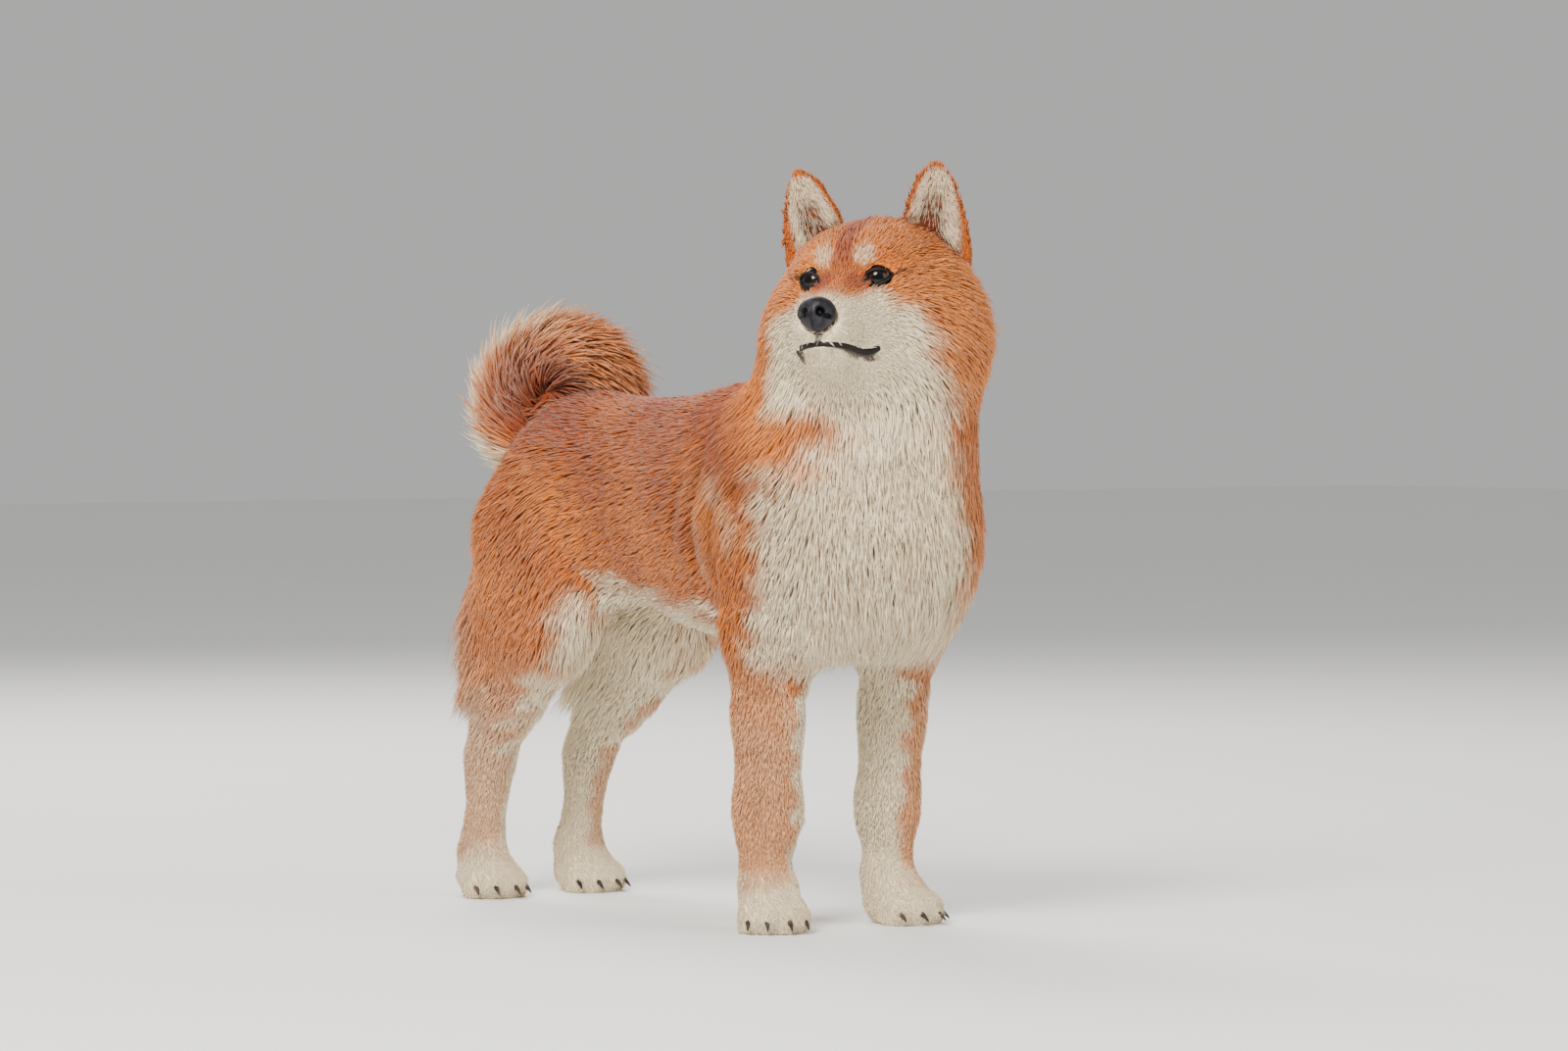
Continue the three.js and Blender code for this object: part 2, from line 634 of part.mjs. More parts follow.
// A paw with a short down-turned claw fused to the front of each toe
function withClaws(shape, frame) {
  let clawed = shape;
  for (const { aside, reach } of toes) {
    const claw = new THREE.ConeGeometry(clawSize.radius, clawSize.length, 5, 1);
    claw.rotateZ(degrees(-90)).rotateY(degrees(25)).translate(reach + 17, 0, 8.5);
    claw.rotateZ(degrees(aside * 0.6)).translate(0, aside * 0.85, 0);
    clawed = clawed.add(solid(claw.applyMatrix4(frame)));
  }
  return clawed;
}

for (const [name, s] of Object.entries(SIDES)) {
  const wholeFore = blend(8, [body, forepaw[name]]);
  const near = s < 0 ? [-130, -8] : [8, 130];
  const elbowCut = [vec(146, s * 60, 176), vec(0.1, 0, -1)];
  const wristCut = [vec(frontPaw.x - 12, s * frontPaw.y, 62), vec(0, 0, -1)];
  const armShape = solid(meshField(wholeFore, vec(60, near[0], 130), vec(260, near[1], 262), cells.arm));
  addPiece("upper_arm_" + name, cutTo(armShape, [armCut[name], flip(elbowCut)]), redCoat);
  const foreShape = solid(meshField(wholeFore, vec(80, near[0], 36), vec(250, near[1], 215), cells.forearm));
  addPiece("forearm_" + name, cutTo(foreShape, [elbowCut, flip(wristCut)]), redCoat);
  const pawShape = solid(meshField(wholeFore, vec(110, near[0], -12), vec(250, near[1], 84), cells.paw));
  const clawedFore = withClaws(pawShape, frames["forepaw_" + name]);
  addPiece("forepaw_" + name, cutTo(clawedFore, [wristCut, floor]), creamCoat);

  const wholeHind = blend(8, [body, hindpaw[name]]);
  const stifleCut = [vec(-104, s * 60, 180), vec(-0.5, 0, -0.87)];
  const hockCut = [vec(hindPaw.x, s * hindPaw.y, 118), vec(-0.2, 0, -0.98)];
  const toeCut = [vec(hindPaw.x, s * hindPaw.y, 50), vec(0, 0, -1)];
  const thighShape = solid(meshField(wholeHind, vec(-290, near[0], 80), vec(20, near[1], 300), cells.thigh));
  addPiece("thigh_" + name, cutTo(thighShape, [thighCut[name], flip(stifleCut)]), redCoat);
  addPiece("shank_" + name, cutTo(thighShape, [stifleCut, flip(hockCut), thighCut[name]]), redCoat);
  const hockShape = solid(meshField(wholeHind, vec(-270, near[0], 30), vec(-150, near[1], 150), cells.hock));
  addPiece("hock_" + name, cutTo(hockShape, [hockCut, flip(toeCut)]), redCoat);
  const footShape = solid(meshField(wholeHind, vec(-270, near[0], -12), vec(-130, near[1], 70), cells.paw));
  const clawedHind = withClaws(footShape, frames["hindpaw_" + name]);
  addPiece("hindpaw_" + name, cutTo(clawedHind, [toeCut, floor]), creamCoat);
}

// The tail in three lengths, its root set on the rump, each length cut clear of those before it
const tailLengths = { tail_root: [0, 0.36], tail_arch: [0.36, 0.7], tail_tip: [0.7, 1] };
const tailSpan = box(vec(-310, -110, 280), vec(-80, 100, 500));
const meshTail = (from, to, level = 0) =>
  solid(meshField(tailField(from, to), tailSpan.low, tailSpan.high, cells.tail, level));
let taken = solid(meshField(body, trunkSpan.low, trunkSpan.high, cells.trunk, seam));
for (const [name, [from, to]] of Object.entries(tailLengths)) {
  addPiece(name, meshTail(from, to).subtract(taken), redCoat);
  taken = taken.add(meshTail(from, to, seam));
}

// The origin goes to the middle of the floor under the whole animal
const extent = new THREE.Box3().setFromObject(model);
const middle = extent.getCenter(vec(0, 0, 0));
model.position.set(-middle.x, -middle.y, -extent.min.z);

export default model;
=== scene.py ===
"""A standing shiba inu dressed over its frame: one skin, a coat of mesh tufts that follows the lie of the
fur, and eyes, nose, lips, lid rims and claws of their own. Sizes are millimetres in the animal's own frame,
+X forward, +Y to its left and +Z up, and are turned to metres where a mesh is made."""

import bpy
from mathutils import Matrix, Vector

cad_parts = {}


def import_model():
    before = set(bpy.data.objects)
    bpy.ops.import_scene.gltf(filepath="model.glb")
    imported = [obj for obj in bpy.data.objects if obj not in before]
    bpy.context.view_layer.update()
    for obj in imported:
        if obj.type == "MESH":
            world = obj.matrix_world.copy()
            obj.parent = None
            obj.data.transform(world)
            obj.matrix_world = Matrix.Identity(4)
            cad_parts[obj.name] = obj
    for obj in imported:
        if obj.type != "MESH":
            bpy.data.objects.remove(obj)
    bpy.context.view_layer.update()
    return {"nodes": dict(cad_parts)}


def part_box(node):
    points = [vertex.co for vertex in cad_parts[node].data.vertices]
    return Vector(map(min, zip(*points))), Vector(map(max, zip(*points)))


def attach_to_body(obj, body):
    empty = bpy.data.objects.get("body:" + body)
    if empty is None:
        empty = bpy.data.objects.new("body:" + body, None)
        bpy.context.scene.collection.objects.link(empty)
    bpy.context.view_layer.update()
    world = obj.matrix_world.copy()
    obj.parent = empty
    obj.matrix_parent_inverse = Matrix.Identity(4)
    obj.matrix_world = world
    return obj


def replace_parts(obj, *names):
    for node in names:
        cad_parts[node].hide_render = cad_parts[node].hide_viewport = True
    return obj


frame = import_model()

import math

import bmesh
import bpy
import numpy as np
from mathutils import Vector
from mathutils.bvhtree import BVHTree

MM = 0.001
SIDES = (("right", -1), ("left", 1))
rng = np.random.default_rng(7)


def vec(*xyz):
    return np.array(xyz, dtype=float)


def far(rows):
    """The length of each row."""
    return np.linalg.norm(rows, axis=1)


def unit(v):
    return v / np.maximum(np.linalg.norm(v, axis=-1, keepdims=True), 1e-9)


def box_middle(node):
    low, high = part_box(node)
    return (vec(*low) + vec(*high)) / 2 / MM


# The animal's own frame stands where the nose says: its middle there, in millimetres
NOSE_MIDDLE = vec(278.65, -104.58, 451.51)
SHIFT = box_middle("nose") - NOSE_MIDDLE


def world(points):
    return (points + SHIFT) * MM


# Head frame: x towards the nose, y to its left, z up
def turned(axis, degrees):
    c, s = math.cos(math.radians(degrees)), math.sin(math.radians(degrees))
    x, y, z = axis
    k = np.array([[0, -z, y], [z, 0, -x], [-y, x, 0]])
    return np.eye(3) + s * k + (1 - c) * (k @ k)


HEAD_MIDDLE = vec(225, -14, 473)
HEAD_TURN = turned((0, 0, 1), -60) @ turned((0, 1, 0), -3) @ turned((1, 0, 0), 2.5)


def head_point(x, y, z):
    return HEAD_MIDDLE + HEAD_TURN @ vec(x, y, z)


def in_head(points):
    return (points - HEAD_MIDDLE) @ HEAD_TURN


# The tail's middle line: up from the croup, back, over, forward and down on the left side
CURL = {"centre": vec(-192, 4, 388), "plane": 18, "radii": (40, 27), "start": -60, "sweep": -350, "drift": 62}
DRIFT_FROM = 0.25
TAIL_LEAST = 25
TAIL_SWELL = 14
TAIL_TAPER = 45
TAPER_FROM = 0.8
CORE_SHARE = 0.56


def tail_point(t):
    """The middle of the tail at a share t of its length."""
    t = np.asarray(t, dtype=float)
    angle = np.radians(CURL["start"] + CURL["sweep"] * t)
    radius = CURL["radii"][0] + (CURL["radii"][1] - CURL["radii"][0]) * t
    drift = CURL["drift"] * np.maximum(0, t - DRIFT_FROM) ** 1.5
    flat = np.stack([np.cos(angle) * radius, drift, np.sin(angle) * radius], -1)
    return flat @ turned((0, 0, 1), CURL["plane"]).T + CURL["centre"]


def tail_radius(t):
    """How far the tail's coat reaches from its middle line."""
    t = np.asarray(t, dtype=float)
    swell = TAIL_SWELL * np.sin(np.pi * np.minimum(1, 0.08 + t * 0.85))
    return TAIL_LEAST + swell - TAIL_TAPER * np.maximum(0, t - TAPER_FROM)


def tail_core(t):
    """How far the flesh of the tail reaches."""
    return tail_radius(t) * CORE_SHARE


class Lie:
    """How the coat lies on one part: a stretch of bone with the radius of the part round it, the lie of the
    hair there, its length, the depth of the coat, the width of a tuft, the gap between tufts and how far the
    tips stand off."""

    def __init__(self, group, start, end, radius, lie, length, depth, width, gap, lift=0.0, s=1):
        self.group, self.radius = group, radius
        self.figures = (length, depth, width, gap, lift)
        start, end, lie = (vec(*v) * [1, s, 1] for v in (start, end, lie))
        if group in HEAD_GROUPS:
            start, end, lie = head_point(*start), head_point(*end), HEAD_TURN @ lie
        self.start, self.end, self.lie = start, end, unit(lie)


# The head's rows are in its own frame. Rows of the left side are mirrored to the right
HEAD_GROUPS = {"face", "skull", "cheeks"}
MIDDLE_LIES = [
    ("face", (52, 0, -16), (92, 0, -24), 18, (-1, 0, 0.12), 5.5, 1.4, 1.0, 1.35),
    ("face", (30, 0, -58), (84, 0, -58), 14, (-1, 0, -0.1), 6.5, 1.6, 1.1, 1.5),
    ("skull", (6, 0, 14), (34, 0, 12), 30, (-1, 0, 0.2), 8, 2.2, 1.2, 1.6),
    ("skull", (-40, 0, 6), (-8, 0, 8), 44, (-1, 0, -0.3), 13, 4.5, 1.6, 2.1),
    ("neck", (170, 0, 400), (140, 0, 330), 78, (-0.5, 0, -0.9), 27, 8, 2.1, 2.2, 0.04),
    ("chest", (236, 0, 350), (226, 0, 262), 58, (0.05, 0, -1), 29, 9, 2.3, 2.3, 0.04),
    ("back", (110, 0, 336), (-140, 0, 330), 62, (-1, 0, -0.3), 18, 6, 2.1, 2.4),
    ("belly", (90, 0, 262), (-90, 0, 272), 52, (-1, 0, -0.15), 20, 6, 2.2, 2.6),
]
SIDE_LIES = [
    ("face", (55, 14, -34), (90, 10, -40), 19, (-1, 0, -0.25), 5.5, 1.4, 1.0, 1.35),
    ("face", (38, 22, 12), (34, 26, 2), 9, (-0.8, 0.3, 0.35), 5, 1.6, 0.9, 1.25),
    ("cheeks", (22, 36, -26), (12, 42, -30), 27, (-0.8, 0.2, -0.5), 12, 4, 1.4, 1.9),
    ("cheeks", (-12, 50, -40), (-6, 50, -24), 32, (-0.75, 0.1, -0.7), 25, 7, 1.9, 2.0, 0.1),
    ("flanks", (100, 40, 300), (-60, 30, 296), 46, (-0.95, 0, -0.45), 18, 6, 2.1, 2.4),
    ("forelegs", (180, 64, 300), (166, 62, 226), 36, (-0.35, 0, -0.95), 15, 5, 1.9, 2.3),
    ("forelegs", (164, 60, 196), (158, 56, 84), 20, (-0.2, 0, -1), 9, 2.5, 1.5, 2.0),
    ("paws", (158, 58, 48), (158, 58, 26), 20, (0.3, 0, -1), 6, 1.6, 1.1, 1.6),
    ("paws", (170, 58, 14), (190, 58, 10), 15, (0.75, 0, -0.65), 4.5, 1.2, 1.0, 1.4),
    ("haunches", (-130, 58, 300), (-118, 62, 214), 46, (-0.5, 0, -0.87), 19, 6, 2.1, 2.4),
    ("haunches", (-196, 44, 262), (-192, 50, 200), 34, (-0.6, 0, -0.8), 42, 10, 2.6, 2.4, 0.4),
    ("hindlegs", (-134, 58, 188), (-178, 52, 142), 26, (-0.6, 0, -0.8), 12, 3.5, 1.7, 2.1),
    ("hindlegs", (-206, 47, 112), (-218, 47, 52), 15, (-0.25, 0, -1), 7.5, 2, 1.4, 1.8),
    ("paws", (-214, 47, 44), (-214, 47, 24), 18, (0.3, 0, -1), 6, 1.6, 1.1, 1.6),
    ("paws", (-205, 47, 14), (-186, 47, 10), 15, (0.75, 0, -0.65), 4.5, 1.2, 1.0, 1.4),
]
LIES = [Lie(*row) for row in MIDDLE_LIES] + [Lie(*row, s=s) for side, s in SIDES for row in SIDE_LIES]
GROUPS = sorted({lie.group for lie in LIES}) + ["tail"]
# How softly one part's coat runs over into the next, and the shares of the width and of the gap that are used
BLEND_REACH = 9.0
FINER = 0.82
SPARSER = 0.98
TAIL_STEPS = np.linspace(0, 1, 61)
TAIL_LINE = tail_point(TAIL_STEPS)
TAIL_START = 0.10
# Tufts of the tail: how much longer than the coat is deep, then depth, width, gap and lift
TAIL_REACH = 1.4
TAIL_MORE = 8
TAIL_FIGURES = (1.0, 2.6, 2.1, 0.55)


def nearest_on_tail(points):
    """The place along the tail nearest to each point, and the distance to its middle line."""
    best = np.full(len(points), 1e9)
    where = np.zeros(len(points))
    for t, at in zip(TAIL_STEPS, TAIL_LINE):
        gap = far(points - at)
        closer = gap < best
        best[closer] = gap[closer]
        where[closer] = t
    return where, best


# A ball of flesh inside the curl closes it, so that no daylight shows through
CURL_HEART = vec(*CURL["centre"]) + vec(0, 5, 0)
CURL_FILL = 19


class Coat:
    """The coat at many points of the skin: figures and lie blended from the parts nearby."""

    def __init__(self, points, normals):
        gaps = []
        for lie in LIES:
            along = lie.end - lie.start
            t = np.clip((points - lie.start) @ along / (along @ along), 0, 1)
            gaps.append(far(points - lie.start - t[:, None] * along) - lie.radius)
        gaps = np.stack(gaps, 1)
        weight = np.exp(-(gaps - gaps.min(1, keepdims=True)) / BLEND_REACH)
        weight /= weight.sum(1, keepdims=True)
        self.figures = weight @ np.array([lie.figures for lie in LIES])
        flow = weight @ np.array([lie.lie for lie in LIES])
        self.group = np.array([GROUPS.index(lie.group) for lie in LIES])[gaps.argmin(1)]
        self.tail_at, tail_gap = nearest_on_tail(points)
        core = tail_core(self.tail_at)
        on_tail = ramp(16, 6, tail_gap - core) * ramp(TAIL_START - 0.06, TAIL_START, self.tail_at)
        self.on_tail = on_tail
        ahead = unit(tail_point(np.minimum(1, self.tail_at + 0.02)) - tail_point(self.tail_at - 0.02))
        length = (tail_radius(self.tail_at) - core) * TAIL_REACH + TAIL_MORE
        tail_figures = np.hstack([length[:, None], np.tile(TAIL_FIGURES, (len(length), 1))])
        self.figures = self.figures * [1, 1, FINER, SPARSER, 1]
        self.figures += on_tail[:, None] * (tail_figures - self.figures)
        flow += on_tail[:, None] * (ahead - flow)
        self.group[on_tail > 0.5] = GROUPS.index("tail")
        flow -= normals * (flow * normals).sum(1, keepdims=True)
        self.flow = unit(flow)
        self.length, self.depth, self.width, self.gap, self.lift = self.figures.T


def ramp(low, high, x):
    """0 at low, 1 at high, smooth between; low may be above high."""
    t = np.clip((x - low) / (high - low), 0, 1)
    return t * t * (3 - 2 * t)


def ripple(points, size, seed):
    """A soft repeatable waviness between -1 and 1, so that no marking has a straight edge."""
    phase = np.random.default_rng(seed).uniform(0, 6.28, (6, 1))
    turns = unit(np.random.default_rng(seed + 1).normal(size=(6, 3)))
    return np.sin(points @ turns.T * (6.28 / size) + phase.T).mean(1) * 1.6


def near_spot(h, spot, reach, along=1.0):
    """1 in a soft spot of the head and in its mirror image; a small along stretches it lengthwise."""
    rel = h * [1, 0, 1] + np.abs(h) * [0, 1, 0] - vec(*spot)
    return ramp(1.35, 0.65, far(rel * [along, 1, 1]) / reach)


# The line of the mouth, from under the nose to the corner
MOUTH = [(104, -2, -50), (97, 10, -51), (85, 17, -54.5), (70, 24, -57), (56, 33, -53)]
MOUTH_AT = [x for x, y, z in reversed(MOUTH)]
MOUTH_HEIGHT = [z for x, y, z in reversed(MOUTH)]
# The upper edge of the white on the cheeks: its height by the place along the head
CHEEK_AT = (0, 12, 28, 60, 92)
CHEEK_HEIGHT = (-36, -21, -18, -23, -22)
# The red bridge of the nose narrows forward
BRIDGE_AT = (55, 90)
BRIDGE_HALF = (27, 10)
# Spots of the head: place and radius
BROW = ((40, 15, 16), 7.5)
UNDER_EYE = ((41, 27, -8), 6)
BRIDGE_PATCH = ((56, 12, -4), 9)
CHEEK_PATCH = ((30, 42, -9), 6)
TEMPLE = ((20, 36, 16), 12)
# Rows of dark spots on the muzzle: height and place aside of the first, with the step from one to the next
MUZZLE_ROWS = [(-33, 20), (-38, 20), (-43, 18)]
MUZZLE_STEP = (5.5, -1.6, 0.6)
MUZZLE_FROM = 74
MUZZLE_SPOT = 1.5


def white_of_head(h, rough):
    """The white of muzzle, cheeks, throat and brows."""
    hx, hy, hz = h.T
    wide = np.abs(hy)
    half = np.interp(hx, BRIDGE_AT, BRIDGE_HALF)
    bridge = ramp(half + 4, half - 5, wide + 2 * rough) * ramp(-33, -22, hz) * ramp(98, 78, hx + 2 * rough)
    muzzle = ramp(50, 62, hx + 0.6 * rough)
    muzzle = muzzle * np.maximum(ramp(-2, -13, hz), ramp(82, 96, hx)) * (1 - 0.9 * bridge)
    line = np.interp(hx, CHEEK_AT, CHEEK_HEIGHT) + 3.5 * rough
    cheek = ramp(line + 7, line - 5, hz) * ramp(-14, 16, hx + 5 * rough - 0.25 * (hz + 40)) * (1 - bridge)
    cheek = cheek * ramp(66, 46, wide + 5 * rough + 0.15 * (hz + 30))
    brow = 0.62 * near_spot(h + rough[:, None], *BROW, 0.25)
    under_eye = 0.55 * near_spot(h, *UNDER_EYE, 0.4)
    throat = ramp(-48, -64, hz + 4 * rough) * ramp(-26, 10, hx) * ramp(60, 34, wide + 6 * rough)
    return np.maximum.reduce([muzzle, cheek, brow, under_eye, throat])


def dark_of_head(points, h):
    """The dark groove under the nose, the lips, the spots on the muzzle and the lids."""
    hx, hy, hz = h.T
    groove = ramp(4.5, 1.5, np.abs(hy)) * ramp(97, 101, hx) * ramp(-52, -48, hz) * ramp(-34, -38, hz)
    dark = 0.85 * groove
    lip = hz - np.interp(hx, MOUTH_AT, MOUTH_HEIGHT) - 1.2
    lip = ramp(2.0, 0.6, lip) * ramp(-3.2, -1.4, lip) * ramp(62, 68, hx) * ramp(102, 97, hx)
    dark = np.maximum(dark, 0.92 * lip)
    ahead, aside, up = MUZZLE_STEP
    for row, (height, out) in enumerate(MUZZLE_ROWS):
        for i in range(4):
            spot = (MUZZLE_FROM + ahead * i - row, out + aside * i, height + up * i)
            dark = np.maximum(dark, 0.5 * near_spot(h, spot, MUZZLE_SPOT))
    for eye in EYES:
        across, up_eye, forward = eye.local(points)
        facing = (forward > 0) & (far(points - eye.middle) < 34)
        rim = ramp(2.6, 1.0, eye.outside(points))
        outer = ramp(2.2, 0.6, np.abs(up_eye + 0.1 * (across - 10))) * ramp(21, 13, across) * (across > 8)
        inner = ramp(2.2, 0.7, np.abs(up_eye - 0.45 * (across + 9))) * ramp(-17, -12, across) * (across < -8)
        dark = np.maximum(dark, facing * np.maximum.reduce([0.95 * rim, 0.75 * outer, 0.85 * inner]))
    return dark


def head_markings(points, rough):
    """White, red and dark of the head, and the share that the head has in each point."""
    h = in_head(points)
    hx, hy, hz = h.T
    streak = ramp(11, 3, np.abs(hy) + 2 * rough) * ramp(-4, 14, hz) * ramp(-30, 0, hx)
    bridge_patch = near_spot(h, *BRIDGE_PATCH, 0.5)
    cheek_patch = near_spot(h, *CHEEK_PATCH, 0.5)
    patches = bridge_patch + 0.7 * cheek_patch + 0.5 * near_spot(h, *TEMPLE)
    crown = ramp(20, 40, hz) * ramp(20, -20, hx)
    red = 0.16 + 0.75 * streak + 0.7 * patches + 0.3 * crown + 0.12 * rough
    white = white_of_head(h, rough) * (1 - 0.8 * np.clip(bridge_patch + cheek_patch, 0, 1))
    share = ramp(-84, -64, hz + 0.25 * hx) * ramp(-62, -46, hx) * ramp(150, 130, far(h))
    return white, red, dark_of_head(points, h), share


# The middle of the cream front, by height: under the turned head it follows the throat
FRONT_HEIGHT = (240, 300, 400)
FRONT_BEARING = (-14, -22, -31)
FRONT_SPREAD = (58, 46, 34)
# Heights over which the body's markings begin, each from its edge to where it is full
LEG_BELOW = (258, 225)
BELLY_BELOW = (290, 262)
PAW_BELOW = (62, 26)
BREECH_SPAN = ((120, 165), (325, 275))
THIGH_SPAN = ((290, 250), (110, 150))


def tail_marks_and_shade(points, rough):
    """White, red and dark of the tail, and its share: its underside faces out of the curl and is pale, and
    the dark is painted shade on the hair that faces into the curl.
    """
    coat_at, tail_gap = nearest_on_tail(points)
    middle_line = tail_point(coat_at)
    outward = unit((middle_line - CURL["centre"]) * [1, 0, 1])
    facing = (unit(points - middle_line) * outward).sum(1)
    white = 0.85 * ramp(-0.1, 0.6, facing + 0.25 * rough) * ramp(0.6, 0.4, coat_at)
    share = ramp(18, 8, tail_gap - tail_core(coat_at)) * ramp(0.04, 0.1, coat_at)
    # Painted shade: the hair that faces into the curl is darkened
    return white, 0.35 + 0.65 * ramp(0.2, -0.6, facing), 0.3 * share * ramp(-0.2, -0.9, facing), share


def markings_and_shade(points, normals):
    """How white and how deep red the coat is at each point, and how near to black, from dark markings and
    from painted shade in the skin's folds and inside the tail's curl, all 0 to 1.
    """
    x, y, z = points.T
    rough = ripple(points, 26, 3)
    broad = ripple(points, 70, 9)
    ahead = normals[:, 0]
    aside = np.degrees(np.arctan2(normals[:, 1], normals[:, 0])) - np.interp(z, FRONT_HEIGHT, FRONT_BEARING)
    spread = np.interp(z, FRONT_HEIGHT, FRONT_SPREAD) + 9 * rough
    front = 0.92 * ramp(spread + 18, spread - 14, np.abs(aside)) * ramp(110, 150, x) * ramp(185, 215, z)
    inner = ramp(0.12, -0.5, normals[:, 1] * np.sign(y) + 0.2 * rough) * ramp(*LEG_BELOW, z)
    belly = ramp(-0.45, -0.85, normals[:, 2] + 0.15 * rough) * ramp(*BELLY_BELOW, z)
    paw = ramp(*PAW_BELOW, z + 6 * rough)
    breech = ramp(-180, -214, x + 10 * rough) * ramp(-0.1, -0.75, ahead)
    breech = breech * ramp(*BREECH_SPAN[0], z) * ramp(*BREECH_SPAN[1], z)
    thigh_stripe = ramp(0.66, 0.98, ahead + 0.12 * rough) * ramp(-30, -80, x)
    thigh_stripe = thigh_stripe * ramp(*THIGH_SPAN[0], z) * ramp(*THIGH_SPAN[1], z)
    pale_leg = 0.3 * ramp(215, 150, z + 10 * rough) + 0.2 * ramp(330, 230, z) * ramp(-150, -190, x)
    shoulder = 0.4 * ramp(0.1, 0.9, ripple(points * [1, 1, 0.35], 34, 21)) * ramp(105, 130, x)
    shoulder = shoulder * ramp(360, 330, z)
    white = np.maximum.reduce([front, inner, belly, paw, breech, thigh_stripe, shoulder, pale_leg])
    saddle = ramp(290, 385, z) * ramp(195, 120, x)
    red = 0.42 + 0.4 * saddle + 0.2 * broad - 0.25 * ramp(250, 150, z) * (x > 60)
    hock_line = ramp(-0.3, -0.8, ahead) * ramp(-196, -206, x) * ramp(130, 105, z)
    red = red + hock_line * (0.95 - red)
    white = white * (1 - 0.85 * hock_line)
    # Painted shade: the folds of skin behind the shoulders are darkened by their depth
    dark = 0.35 * fold_depth(points)
    white_head, red_head, dark_head, share = head_markings(points, rough)
    white = white + share * (white_head - white)
    red = red + share * (red_head - red)
    dark = np.maximum(dark, share * dark_head)
    white_tail, red_tail, curl_shade, share = tail_marks_and_shade(points, rough)
    white = white + share * (white_tail - white)
    red = red + share * (red_tail + 0.2 * broad - red)
    # The tail's dark is painted shade inside the curl
    dark = np.maximum(dark, curl_shade)
    return np.clip(white, 0, 1), np.clip(red, 0, 1), np.clip(dark, 0, 1)


# Folds of loose skin behind each shoulder: place along the body, lowest and highest point, depth, width
# and slant
FOLDS = [(108, 262, 372, 4.0, 6, 0.16), (82, 282, 350, 2.2, 7, 0.2), (146, 250, 330, 2.0, 7, 0.1)]


def fold_depth(points):
    """How deep each point lies in a fold of the skin, 0 to 1."""
    x, y, z = points.T
    total = np.zeros(len(points))
    for at, low, high, depth, width, slant in FOLDS:
        off = x - at - slant * (z - 310) - 3 * np.sin(z / 17)
        span = ramp(low - 10, low + 14, z) * ramp(high + 10, high - 14, z) * ramp(38, 62, np.abs(y))
        total = np.maximum(total, depth / FOLDS[0][3] * np.exp(-((off / width) ** 2)) * span)
    return total


# Meshes and pieces
def link(name, data):
    obj = bpy.data.objects.new(name, data)
    bpy.context.scene.collection.objects.link(obj)
    return obj


def rows_of(collection, key, width, kind=np.float32):
    """One property of all the members of a collection, a row for each."""
    values = np.empty(len(collection) * width, dtype=kind)
    collection.foreach_get(key, values)
    return values.reshape(-1, width)


def vertices_of(mesh):
    return rows_of(mesh.vertices, "co", 3).astype(float) / MM - SHIFT


def normals_of(mesh):
    return rows_of(mesh.vertex_normals, "vector", 3).astype(float)


def edges_of(mesh):
    return rows_of(mesh.edges, "vertices", 2, np.int64)


def set_vertices(mesh, points):
    mesh.vertices.foreach_set("co", world(points).astype(np.float32).ravel())
    mesh.update()


PULL = 0.5


def smooth(points, edges, rounds, where=None, back=1.02):
    """Draws each point towards the middle of its neighbours, and then back again unless back is 0."""
    a, b = edges.T
    count = np.bincount(a, minlength=len(points)) + np.bincount(b, minlength=len(points))
    share = 1 if where is None else where[:, None]
    pulls = (PULL, -PULL * back) if back else (PULL,)
    for _ in range(rounds):
        for pull in pulls:
            total = np.zeros_like(points)
            for c in range(3):
                total[:, c] = np.bincount(a, points[b, c], len(points))
                total[:, c] += np.bincount(b, points[a, c], len(points))
            points = points + share * pull * (total / count[:, None] - points)
    return points


def shade_smooth(mesh):
    mesh.polygons.foreach_set("use_smooth", np.ones(len(mesh.polygons), dtype=bool))


def mesh_of(bm, name):
    mesh = bpy.data.meshes.new(name)
    bm.to_mesh(mesh)
    bm.free()
    shade_smooth(mesh)
    return mesh


FLESH = ["chest", "loin", "rump", "neck", "head"] + [
    part + "_" + side
    for side, s in SIDES
    for part in ("upper_arm", "forearm", "forepaw", "thigh", "shank", "hock", "hindpaw")
]
TAIL = ["tail_root", "tail_arch", "tail_tip"]
SEAM_FILL = 0.25 * MM
TAIL_BEADS = 36
SKIN_VOXEL = 4.0 * MM


def add_copy(bm, node, grow):
    """Adds a node's closed surface to a bmesh, grown so that it meets its neighbours."""
    start = len(bm.verts)
    bm.from_mesh(node.data)
    bm.verts.ensure_lookup_table()
    bmesh.ops.remove_doubles(bm, verts=bm.verts[start:], dist=1e-6)
    bm.normal_update()
    bm.verts.ensure_lookup_table()
    for v in bm.verts[start:]:
        v.co += v.normal * grow


def remeshed(name, mesh, voxel):
    """A new mesh with even faces over the union of closed ones."""
    rough = link(name + "_rough", mesh)
    modifier = rough.modifiers.new("even", "REMESH")
    modifier.mode = "VOXEL"
    modifier.voxel_size = voxel
    evaluated = rough.evaluated_get(bpy.context.evaluated_depsgraph_get())
    made = bpy.data.meshes.new_from_object(evaluated)
    bpy.data.objects.remove(rough)
    made.name = name
    return made


